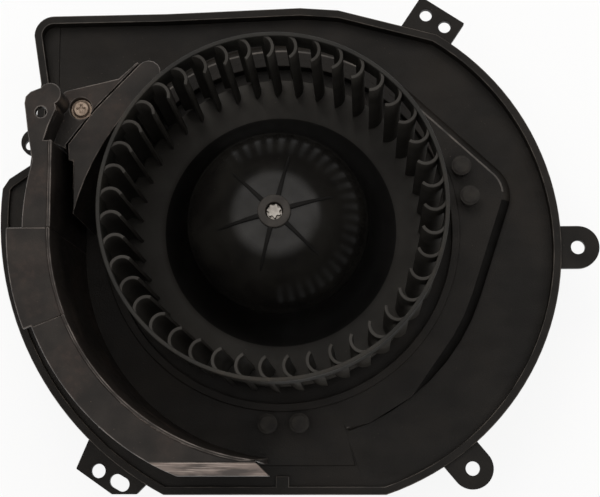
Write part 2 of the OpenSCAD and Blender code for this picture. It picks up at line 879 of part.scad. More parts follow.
module cutoff_wall() {
  color("#3a3633") difference() {
    union() {
      wall_lead(strip_z);
      wall_round();
      wall_tail();
      tower();
      wall_ear();
      translate([boss[0], boss[1], post_z]) cylinder(r = boss_r, h = boss_depth + boss_floor_t);
      at_feet() translate([0, 0, pad_z]) cylinder(r = foot_r, h = foot_h);
    }
    groove();
    translate([boss[0], boss[1], boss_floor_z]) cylinder(r = boss_bore_r, h = boss_depth + eps);
    translate([boss[0], boss[1], pad_z]) cylinder(r = cut_screw_r + neck_gap, h = web_z - pad_z);
    translate([ear_hole[0], ear_hole[1], web_z + eps]) cylinder(r = wall_ear_hole_r, h = ear_z - web_z);
    translate([0, 0, floor_z]) cylinder(r = collar_r + touch_gap, h = lip_rise + touch_gap);
    at_feet() translate([0, 0, pad_z - eps]) cylinder(r = foot_screw_r, h = foot_screw_len);
  }
}

module pan_screw(head_r, head_h, r, length) {
  translate([0, 0, -length]) cylinder(r = r, h = length + eps);
  cylinder(r1 = head_r, r2 = head_r * pan_taper, h = head_h);
}

// Screw with a washer under its head and a cross recess
module washer_screw() {
  difference() {
    union() {
      translate([0, 0, -cut_screw_len]) cylinder(r = cut_screw_r, h = cut_screw_len + eps);
      cylinder(r = cut_head_r, h = cut_washer_t);
      cylinder(r1 = cut_dome_r, r2 = cut_dome_r * pan_taper, h = cut_head_h);
    }
    for (a = [0, 90]) rotate([0, 0, a])
      translate([-cut_dome_r / 2, -cut_cross_w / 2, cut_head_h - cut_cross_depth])
        cube([cut_dome_r, cut_cross_w, cut_head_h]);
  }
}

module cutoff_screws() {
  color("#b9a58c") {
    translate([boss[0], boss[1], boss_floor_z]) washer_screw();
    at_feet() translate([0, 0, pad_under_z]) rotate([180, 0, 0])
      pan_screw(foot_head_r, foot_head_h, foot_screw_r, foot_screw_len);
  }
}

// Suspension

module isolator(angle) {
  color("#1d1c1c") difference() {
    union() {
      rotate([0, 0, angle]) translate([isolator_r - isolator_w / 2, -isolator_l / 2, bracket_z + bracket_t])
        cube([isolator_w, isolator_l, pad_under_z - bracket_z - bracket_t]);
      at_heads(angle) {
        translate([0, 0, pad_under_z - eps]) cylinder(r = neck_r, h = plate_t + 2 * eps);
        translate([0, 0, pad_z]) cylinder(r = head_r, h = head_h - head_round);
        translate([0, 0, pad_z + head_h - head_round - eps])
          cylinder(r1 = head_r, r2 = head_r - head_round, h = head_round);
      }
    }
    rotate([0, 0, angle]) translate([isolator_r, 0, bracket_z])
      cylinder(r = bracket_screw_r, h = bracket_screw_len + bracket_t);
  }
}

module isolator_right() {
  isolator(isolator_angles[0]);
}

module isolator_bottom() {
  isolator(isolator_angles[1]);
}

module isolator_left() {
  isolator(isolator_angles[2]);
}

module bracket_leg() {
  root_r = band_r + 2 * band_t;
  translate([root_r, -leg_w / 2, bracket_z]) cube([leg_end_r - root_r, leg_w, bracket_t]);
  for (s = [-1, 1])
    translate([leg_flange_r, s * (leg_w - bracket_t) / 2 - bracket_t / 2, bracket_z])
      cube([leg_flange_end_r - leg_flange_r, bracket_t, leg_flange_h + bracket_t]);
}

module motor_bracket() {
  color("#8d8f90") difference() {
    union() {
      rotate([0, 0, isolator_angles[0] + bracket_seam_angle]) {
        ring(bracket_ring_r, band_r, bracket_z, bracket_t);
        ring(band_r + band_t, band_r, bracket_z, band_h);
      }
      for (a = isolator_angles) rotate([0, 0, a]) bracket_leg();
    }
    translate([0, 0, bracket_z - eps]) cylinder(r = band_r, h = band_h + 2 * eps);
    for (a = isolator_angles) rotate([0, 0, a]) translate([isolator_r, 0, bracket_z - eps])
      cylinder(r = bracket_screw_r + neck_gap, h = bracket_t + 2 * eps);
  }
}

module bracket_screws() {
  color("#b4b4b0") for (a = isolator_angles) rotate([0, 0, a]) translate([isolator_r, 0, bracket_z]) {
    rotate([180, 0, 0]) cylinder(r = bracket_head_r, h = bracket_head_h, $fn = 6);
    translate([0, 0, -eps]) cylinder(r = bracket_screw_r, h = bracket_screw_len);
  }
}

// Motor

// Deep-drawn can with the front bearing's boss on its face
module motor_can() {
  edge = can_t;
  color("#a8aaac") difference() {
    rotate_extrude() polygon(concat(
      [[can_r, can_bottom_z]], arc([can_r - edge, can_top_z - edge], edge, 0, 90, 6),
      [[boss_out_r, can_top_z], [boss_out_r, boss_top_z],
       [nose_bore_r, boss_top_z], [nose_bore_r, boss_inner_z], [seat_r, boss_inner_z],
       [seat_r, front_bearing_z], [can_in_r, front_bearing_z], [can_in_r, can_bottom_z]]));
    for (i = [0:vent_count - 1]) rotate([0, 0, 360 * i / vent_count])
      swept(-vent_arc / 2, vent_arc / 2) translate([vent_in_r, front_bearing_z - eps])
        square([vent_out_r - vent_in_r, can_t + 2 * eps]);
    for (a = cap_screw_angles) radial(a, cap_screw_z, cap_screw_r, can_in_r - can_t, can_r + can_t);
    connector_slot(0, connector_z + connector_h + connector_clear);
  }
}

// Opening that the connector and its terminals pass through
module connector_slot(from_z, height) {
  rotate([0, 0, connector_angle]) translate([spigot_r - 2 * cap_t, -connector_w / 2 - touch_gap, from_z])
    cube([cap_r - spigot_r + 4 * cap_t, connector_w + 2 * touch_gap, height]);
}

module rear_cap() {
  color("#1f1e1e") difference() {
    rotate_extrude() polygon([[0, 0], [cap_r - cap_edge, 0], [cap_r, cap_edge], [cap_r, cap_wall_z],
      [can_r + touch_gap, cap_wall_z], [can_r + touch_gap, cap_floor_t],
      [spigot_r, cap_floor_t], [spigot_r, card_z], [spigot_r - cap_t, card_z],
      [spigot_r - cap_t, cap_floor_t], [seat_r + seat_t, cap_floor_t], [seat_r + seat_t, rear_seat_z],
      [seat_r, rear_seat_z], [seat_r, cap_floor_t], [0, cap_floor_t]]);
    connector_slot(connector_z, connector_h);
    for (a = cap_screw_angles) radial(a, cap_screw_z, cap_screw_r, can_r, cap_r + cap_t);
  }
}

module cap_screws() {
  color("#b4b4b0") for (a = cap_screw_angles) {
    radial(a, cap_screw_z, cap_screw_r, spigot_r + touch_gap, cap_r + eps);
    radial(a, cap_screw_z, cap_screw_head_r, cap_r, cap_r + cap_screw_head_h);
  }
}

// Ball-shaped bush with flat ends
module bearing(z) {
  color("#a5793f") translate([0, 0, z]) difference() {
    intersection() {
      translate([0, 0, bearing_len / 2]) sphere(r = bearing_r);
      cylinder(r = bearing_d, h = bearing_len);
    }
    translate([0, 0, -eps]) cylinder(r = bearing_bore_r, h = bearing_len + 2 * eps);
  }
}

module front_bearing() {
  bearing(front_bearing_z);
}

module rear_bearing() {
  bearing(rear_bearing_z);
}

module front_retainer() {
  color("#9a9c9e")
    ring(boss_out_r + retainer_over, retainer_in_r, front_bearing_z - retainer_t, retainer_t);
}

module rear_retainer() {
  color("#9a9c9e") ring(seat_r + seat_t, retainer_in_r, rear_seat_z, retainer_t);
}

module oil_felts() {
  color("#b8ab8e") {
    ring(bearing_r, felt_in_r, front_bearing_z + bearing_len, felt_t);
    ring(bearing_r, felt_in_r, cap_floor_t, rear_bearing_z - cap_floor_t);
  }
}

module field_magnets() {
  color("#3b3d40") for (a = [0, 180]) rotate([0, 0, a]) swept(-magnet_arc / 2, magnet_arc / 2)
    translate([magnet_in_r, magnet_z]) square([magnet_t, magnet_len]);
}

// Sprung clips that push the two magnets apart
module magnet_clips() {
  side = (180 - magnet_arc) / 2 - clip_clear;
  lip = clip_t / can_in_r * 180 / PI;
  color("#a2a4a6") for (a = [90, 270]) rotate([0, 0, a]) {
    swept(-side, side) translate([can_in_r - clip_t, magnet_mid_z - clip_h / 2]) square([clip_t, clip_h]);
    for (s = [-1, 1]) rotate([0, 0, s * (side - lip / 2)]) swept(-lip / 2, lip / 2)
      translate([can_in_r - clip_lip, magnet_mid_z - clip_h / 2]) square([clip_lip, clip_h]);
  }
}

// Armature

module slot_section(gap) {
  for (i = [0:slot_count - 1]) rotate([0, 0, 360 * (i + 0.5) / slot_count])
    translate([slot_in_r + gap, -slot_w / 2 + gap])
      square([slot_out_r - slot_in_r - 2 * gap, slot_w - 2 * gap]);
}

module armature_core() {
  color("#6f7174") translate([0, 0, core_z]) linear_extrude(core_len) difference() {
    circle(r = core_r);
    circle(r = shaft_r);
    slot_section(0);
    for (i = [0:slot_count - 1]) rotate([0, 0, 360 * (i + 0.5) / slot_count])
      translate([slot_out_r - coil_gap, -slot_mouth / 2]) square([core_r, slot_mouth]);
  }
}

// End turns at both ends, joined through the slots
module armature_winding() {
  round_r = winding_h / 2;
  module bundle(z) {
    translate([0, 0, z]) rotate_extrude() polygon(concat(
      arc([winding_r - round_r, round_r], round_r, -90, 90, arc_steps),
      arc([winding_in_r + round_r, round_r], round_r, 90, 270, arc_steps)));
  }
  color("#9a5a32") {
    bundle(core_z - winding_h);
    bundle(core_top_z);
    translate([0, 0, core_z - round_r]) linear_extrude(core_len + 2 * round_r) slot_section(coil_gap);
  }
}

module commutator_bars() {
  color("#b5713f") difference() {
    ring(commutator_r, sleeve_r, bar_z, bar_len);
    for (i = [0:slot_count - 1]) rotate([0, 0, 360 * i / slot_count])
      translate([0, -bar_slit / 2, bar_z - eps]) cube([commutator_d, bar_slit, bar_len + 2 * eps]);
  }
}

module commutator_sleeve() {
  color("#2c2620") ring(sleeve_r, shaft_r, sleeve_z, core_z - sleeve_z);
}

module thrust_washers() {
  color("#d8d2c4") {
    ring(washer_r, shaft_r, sleeve_z - washer_t, washer_t);
    ring(washer_r, shaft_r, front_bearing_z - retainer_t - end_play - washer_t, washer_t);
  }
}

module motor_shaft() {
  color("#9a948e") translate([0, 0, shaft_bottom_z]) {
    cylinder(r = shaft_r, h = shaft_top_z - shaft_bottom_z - shaft_chamfer);
    translate([0, 0, shaft_top_z - shaft_bottom_z - shaft_chamfer])
      cylinder(r1 = shaft_r, r2 = shaft_r - shaft_chamfer, h = shaft_chamfer);
  }
}

// Brush gear

module brush_card() {
  color("#6b4a2c") ring(can_in_r - touch_gap, card_hole_r, card_z, card_t);
}

// Sheet-brass channel, open towards the commutator
module brush_holder() {
  translate([holder_in_r, -holder_w / 2, card_top_z]) difference() {
    cube([holder_out_r - holder_in_r, holder_w, holder_h]);
    translate([-eps, holder_t, holder_t])
      cube([holder_out_r - holder_in_r - holder_t, holder_w - 2 * holder_t, holder_h - 2 * holder_t]);
  }
}

module brush_holders() {
  color("#b08d4a") for (a = [0, 180]) rotate([0, 0, a]) brush_holder();
}

module brush(angle) {
  color("#38383a") rotate([0, 0, angle]) difference() {
    translate([brush_in_r - brush_lead, -brush_w / 2, brush_z])
      cube([brush_len + brush_lead, brush_w, brush_h]);
    translate([0, 0, brush_z - eps]) cylinder(r = brush_in_r, h = brush_h + 2 * eps);
  }
}

module brush_right() {
  brush(0);
}

module brush_left() {
  brush(180);
}

// Constant-force spring, rolled up behind its brush
module brush_spring(angle) {
  color("#a9abad") rotate([0, 0, angle]) translate([roll_c_r, 0, brush_z + roll_inset]) difference() {
    cylinder(r = roll_r, h = brush_h - 2 * roll_inset);
    translate([0, 0, -eps]) cylinder(r = roll_r - 2 * roll_t, h = brush_h);
  }
}

module brush_spring_right() {
  brush_spring(0);
}

module brush_spring_left() {
  brush_spring(180);
}

// Interference chokes: a wound coil on a ferrite rod
module chokes() {
  color("#8a5a34") for (a = choke_angles) rotate([0, 0, a])
    translate([choke_ring_r, 0, card_top_z + choke_r]) rotate([90, 0, 0]) {
      cylinder(r = choke_r, h = choke_len, center = true);
      cylinder(r = choke_core_r, h = choke_core_len, center = true);
    }
}

// Connector

module terminal_blade() {
  translate([terminal_in_r, -terminal_w / 2, terminal_z])
    cube([terminal_out_r - terminal_in_r, terminal_w, terminal_t]);
}

module terminals() {
  color("#c0b48c") rotate([0, 0, connector_angle])
    for (s = [-1, 1]) translate([0, s * terminal_pitch / 2, 0]) {
      terminal_blade();
      translate([terminal_in_r, -terminal_w / 2, terminal_z])
        cube([terminal_t, terminal_w, card_z - terminal_z]);
    }
}

module connector_socket() {
  color("#262525") rotate([0, 0, connector_angle]) difference() {
    translate([connector_in_r, -connector_w / 2, connector_z])
      cube([connector_out_r - connector_in_r, connector_w, connector_h]);
    translate([connector_back_r, -connector_w / 2 + connector_wall, connector_z + connector_wall])
      cube([connector_reach, connector_w - 2 * connector_wall, connector_h - 2 * connector_wall]);
    for (s = [-1, 1]) translate([0, s * terminal_pitch / 2, 0]) terminal_blade();
  }
}

blower_wheel();
motor_shaft();
armature_core();
armature_winding();
commutator_bars();
commutator_sleeve();
thrust_washers();
base_plate();
cutoff_wall();
cutoff_screws();
isolator_right();
isolator_bottom();
isolator_left();
motor_bracket();
bracket_screws();
motor_can();
rear_cap();
cap_screws();
front_bearing();
rear_bearing();
front_retainer();
rear_retainer();
oil_felts();
field_magnets();
magnet_clips();
brush_card();
brush_holders();
chokes();
terminals();
connector_socket();
brush_right();
brush_left();
brush_spring_right();
brush_spring_left();
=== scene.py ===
import math
import bmesh
import bpy
from mathutils import Matrix, Vector


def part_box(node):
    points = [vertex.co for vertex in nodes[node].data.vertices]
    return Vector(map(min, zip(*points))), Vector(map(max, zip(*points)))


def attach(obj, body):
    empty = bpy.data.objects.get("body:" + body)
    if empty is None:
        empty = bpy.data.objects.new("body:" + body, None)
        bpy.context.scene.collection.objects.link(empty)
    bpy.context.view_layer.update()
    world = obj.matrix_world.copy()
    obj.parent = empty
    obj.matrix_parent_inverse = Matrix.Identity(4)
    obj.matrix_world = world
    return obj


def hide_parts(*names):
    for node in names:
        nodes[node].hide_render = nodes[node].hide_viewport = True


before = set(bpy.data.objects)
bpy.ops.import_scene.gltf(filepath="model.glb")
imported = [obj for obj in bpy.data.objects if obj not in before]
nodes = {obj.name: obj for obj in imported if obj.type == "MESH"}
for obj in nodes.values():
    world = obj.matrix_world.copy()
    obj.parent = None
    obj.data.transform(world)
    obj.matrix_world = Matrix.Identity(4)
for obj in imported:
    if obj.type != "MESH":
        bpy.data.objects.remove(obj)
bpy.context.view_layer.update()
scene = bpy.context.scene
scene.view_settings.view_transform = "Standard"
mm = 0.001
weldGap = 1e-6  # points nearer than this are one
print("frame loaded with", len(nodes), "nodes")


# camera: fitted to the rim, the floor disc and the plate's corners
view = {"place": (0.0418, -0.1324, 0.8882), "target": (0.0096, -0.0085, 0.050), "lens": 102.63,
        "sensor": 36, "clip": 0.01}


def addCamera():
    data = bpy.data.cameras.new("photoCamera")
    data.lens = view["lens"]
    data.sensor_width = view["sensor"]
    data.sensor_fit = "HORIZONTAL"
    data.clip_start = view["clip"]
    camera = bpy.data.objects.new("photoCamera", data)
    scene.collection.objects.link(camera)
    back = (Vector(view["place"]) - Vector(view["target"])).normalized()
    right = Vector((0, 1, 0)).cross(back).normalized()
    turn = Matrix((right, back.cross(right), back)).transposed().to_4x4()
    camera.matrix_world = Matrix.Translation(view["place"]) @ turn
    scene.camera = camera


addCamera()
print("camera set")


# shader helpers: a wire is a socket that can stand in a sum
def plug(tree, socket, value):
    if isinstance(value, Wire):
        tree.links.new(value.socket, socket)
    else:
        socket.default_value = value


class Wire:
    def __init__(self, tree, socket):
        self.tree = tree
        self.socket = socket

    def math(self, operation, first, second):
        made = self.tree.nodes.new("ShaderNodeMath")
        made.operation = operation
        plug(self.tree, made.inputs[0], first)
        plug(self.tree, made.inputs[1], second)
        return Wire(self.tree, made.outputs[0])

    def __add__(self, other):
        return self.math("ADD", self, other)

    def __radd__(self, other):
        return self.math("ADD", other, self)

    def __sub__(self, other):
        return self.math("SUBTRACT", self, other)

    def __rsub__(self, other):
        return self.math("SUBTRACT", other, self)

    def __mul__(self, other):
        return self.math("MULTIPLY", self, other)

    def __rmul__(self, other):
        return self.math("MULTIPLY", other, self)


class Tree:
    def __init__(self, tree):
        self.tree = tree
        self.tree.nodes.clear()

    def node(self, kind, settings, sockets, output=0):
        made = self.tree.nodes.new(kind)
        for key, value in settings.items():
            setattr(made, key, value)
        for key, value in sockets.items():
            plug(self.tree, made.inputs[key], value)
        return Wire(self.tree, made.outputs[output]) if made.outputs else None

    def blend(self, first, second, factor):
        return self.node("ShaderNodeMix", {"data_type": "RGBA"}, {0: factor, 6: first, 7: second}, 2)

    def window(self, value, low, high):
        return self.node("ShaderNodeMapRange", {"interpolation_type": "SMOOTHSTEP"},
                         {"Value": value, "From Min": low, "From Max": high})

    def whiteRays(self):  # the rays that show the white background
        kinds = ("Is Camera Ray", "Is Glossy Ray", "Is Transmission Ray")
        straight, mirrored, through = [self.node("ShaderNodeLightPath", {}, {}, kind) for kind in kinds]
        return straight + mirrored + through


def shade(red, green, blue):  # screen colour, 0 to 255, to linear
    def linear(level):
        level /= 255
        return level / 12.92 if level <= 0.04045 else ((level + 0.055) / 1.055) ** 2.4
    return (linear(red), linear(green), linear(blue), 1)


# stage: pale floor, and a world that is a white backdrop with a dim ceiling above it
stage = {"floorSize": 6, "floorShade": (236, 236, 235), "shadowShare": 0.12, "skyLevel": 0.36,
         "backdropTop": (0.05, 0.22), "ceilingLevel": 0.18, "white": (1, 1, 1, 1)}


def addFloor():
    bm = bmesh.new()
    bmesh.ops.create_grid(bm, x_segments=1, y_segments=1, size=stage["floorSize"] / 2)
    mesh = bpy.data.meshes.new("floor")
    bm.to_mesh(mesh)
    bm.free()
    floor = bpy.data.objects.new("floor", mesh)
    scene.collection.objects.link(floor)
    material = bpy.data.materials.new("paleFloor")
    material.use_nodes = True
    tree = Tree(material.node_tree)
    matt = tree.node("ShaderNodeBsdfDiffuse", {}, {"Color": shade(*stage["floorShade"])})
    white = tree.node("ShaderNodeEmission", {}, {"Color": stage["white"], "Strength": 1.0})
    share = tree.whiteRays() * (1 - stage["shadowShare"])  # the rest keeps the shadow
    both = tree.node("ShaderNodeMixShader", {}, {0: share, 1: matt, 2: white})
    tree.node("ShaderNodeOutputMaterial", {}, {"Surface": both})
    mesh.materials.append(material)


def addWorld():
    world = bpy.data.worlds.new("studio")
    scene.world = world
    world.use_nodes = True
    tree = Tree(world.node_tree)
    way = tree.node("ShaderNodeTexCoord", {}, {}, "Generated")
    up = tree.node("ShaderNodeSeparateXYZ", {}, {"Vector": way}, "Z")
    glow = 1 - tree.window(up, *stage["backdropTop"]) * (1 - stage["ceilingLevel"])
    seen = tree.whiteRays()
    level = seen * glow + (1 - seen) * stage["skyLevel"]
    back = tree.node("ShaderNodeBackground", {}, {"Color": stage["white"], "Strength": level})
    tree.node("ShaderNodeOutputWorld", {}, {"Surface": back})


# lamps: a broad panel overhead, a key panel behind, strips behind and in front, two at the right;
# only the mirrored ones show in gloss
warm = (1, 0.96, 0.92)
lamps = {
    "softPanel": {"shape": "DISK", "size": (2.5, 2.5), "place": (-0.1, 0.25, 1.35), "level": 0.75,
                  "tint": warm, "mirrored": True},
    "keyPanel": {"shape": "RECTANGLE", "size": (0.9, 0.9), "place": (-0.35, 0.95, 1.25), "level": 3.6,
                 "tint": warm, "mirrored": False},
    "backStrip": {"shape": "RECTANGLE", "size": (1.6, 0.4), "place": (-0.3, 1.7, 0.45), "level": 1.6,
                  "tint": warm, "mirrored": False},
    "frontStrip": {"shape": "RECTANGLE", "size": (1.2, 0.4), "place": (0, -1.6, 0.14), "level": 4.0,
                   "tint": (1, 0.95, 0.9), "mirrored": False},
    "sidePanel": {"shape": "RECTANGLE", "size": (0.7, 0.7), "place": (0.95, 0.25, 0.95), "level": 0.4,
                  "tint": warm, "mirrored": False},
    "sideGlint": {"shape": "RECTANGLE", "size": (0.8, 0.3), "place": (0.85, 0.25, 1.05), "level": 1.0,
                  "tint": warm, "mirrored": True},
}


def addLamp(name, look):
    isDisk = look["shape"] == "DISK"
    wide, deep = look["size"]
    data = bpy.data.lights.new(name, "AREA")
    data.shape = look["shape"]
    data.size = wide
    if not isDisk:
        data.size_y = deep
    area = wide * deep * (math.pi / 4 if isDisk else 1)
    data.energy = look["level"] * math.pi * area  # level is the brightness of its face
    data.color = look["tint"]
    lamp = bpy.data.objects.new(name, data)
    scene.collection.objects.link(lamp)
    lamp.location = look["place"]
    if not isDisk:  # the disk hangs level
        aim = Vector(view["target"]) - Vector(look["place"])
        lamp.rotation_euler = aim.to_track_quat("-Z", "Y").to_euler()
    lamp.visible_camera = False
    lamp.visible_glossy = look["mirrored"]


addFloor()
addWorld()
for lampName, look in lamps.items():
    addLamp(lampName, look)
print("stage set with", len(lamps), "lamps")


# finishes: lengths are the sizes of the patterns, bands are where a pattern starts and ends
class Finish(Tree):
    def __init__(self, name, fixed):
        self.material = bpy.data.materials.new(name)
        self.material.use_nodes = True
        super().__init__(self.material.node_tree)
        self.fixed = fixed
        self.place = self.node("ShaderNodeTexCoord", {}, {}, "Object")

    def stretched(self, scale):
        return self.node("ShaderNodeMapping", {}, {"Vector": self.place, "Scale": scale})

    def noise(self, size, detail, place=None):
        return self.node("ShaderNodeTexNoise", {},
                         {"Vector": place or self.place, "Scale": 1 / size, "Detail": detail})

    def cells(self, size, output="Distance"):
        return self.node("ShaderNodeTexVoronoi", {}, {"Vector": self.place, "Scale": 1 / size}, output)

    def bump(self, height, strength, distance):
        return self.node("ShaderNodeBump", {},
                         {"Strength": strength, "Distance": distance, "Height": height})

    def swing(self, pattern, amount):  # up and down about the pattern's middle
        return (pattern - 0.5) * amount

    def tone(self, look, band):
        cloud = self.window(self.noise(look["cloud"], detail=4), *band)
        return self.blend(shade(*look["dark"]), shade(*look["light"]), cloud)

    def dust(self, look):
        specks = 1 - self.window(self.cells(look["speck"]), *grime["speckBand"])
        drifts = self.noise(look["cloud"] * grime["driftSize"], detail=2)
        return specks * self.window(drifts, *grime["driftBand"]) * look["dust"]

    def feed(self, **values):
        sockets = {key.replace("_", " "): value for key, value in values.items()}
        shader = self.node("ShaderNodeBsdfPrincipled", {}, {**self.fixed, **sockets})
        self.node("ShaderNodeOutputMaterial", {}, {"Surface": shader})
        return self.material


grime = {"cloudBand": (0.32, 0.7), "patchSize": 1.6, "patchBand": (0.46, 0.7), "blotSize": 4,
         "blotBand": (0.46, 0.62), "stainBase": 0.45, "blotShare": 0.55, "speckBand": (0.05, 0.09),
         "driftSize": 0.7, "driftBand": (0.5, 0.66), "dirtRough": 0.3, "smearLay": (1, 3.2, 1),
         "grainDepth": 0.5}


def mouldedPlastic(name, look):
    finish = Finish(name, {"Specular IOR Level": look["gloss"]})
    fine = finish.noise(look["grain"], detail=2)
    smear = finish.noise(look["smear"], detail=3, place=finish.stretched(grime["smearLay"]))
    patch = finish.window(finish.noise(look["cloud"] * grime["patchSize"], detail=6), *grime["patchBand"])
    blots = finish.window(finish.noise(look["grain"] * grime["blotSize"], detail=4), *grime["blotBand"])
    stain = patch * (grime["stainBase"] + blots * grime["blotShare"]) * look["stained"]
    dust = finish.dust(look)
    tone = finish.blend(finish.tone(look, grime["cloudBand"]), shade(*look["stain"]), stain)
    rough = look["rough"] + finish.swing(smear, look["roughSwing"]) + (dust + stain) * grime["dirtRough"]
    return finish.feed(Base_Color=finish.blend(tone, shade(*look["dustShade"]), dust), Roughness=rough,
                       Normal=finish.bump(fine, look["bump"], look["grain"] * grime["grainDepth"]))


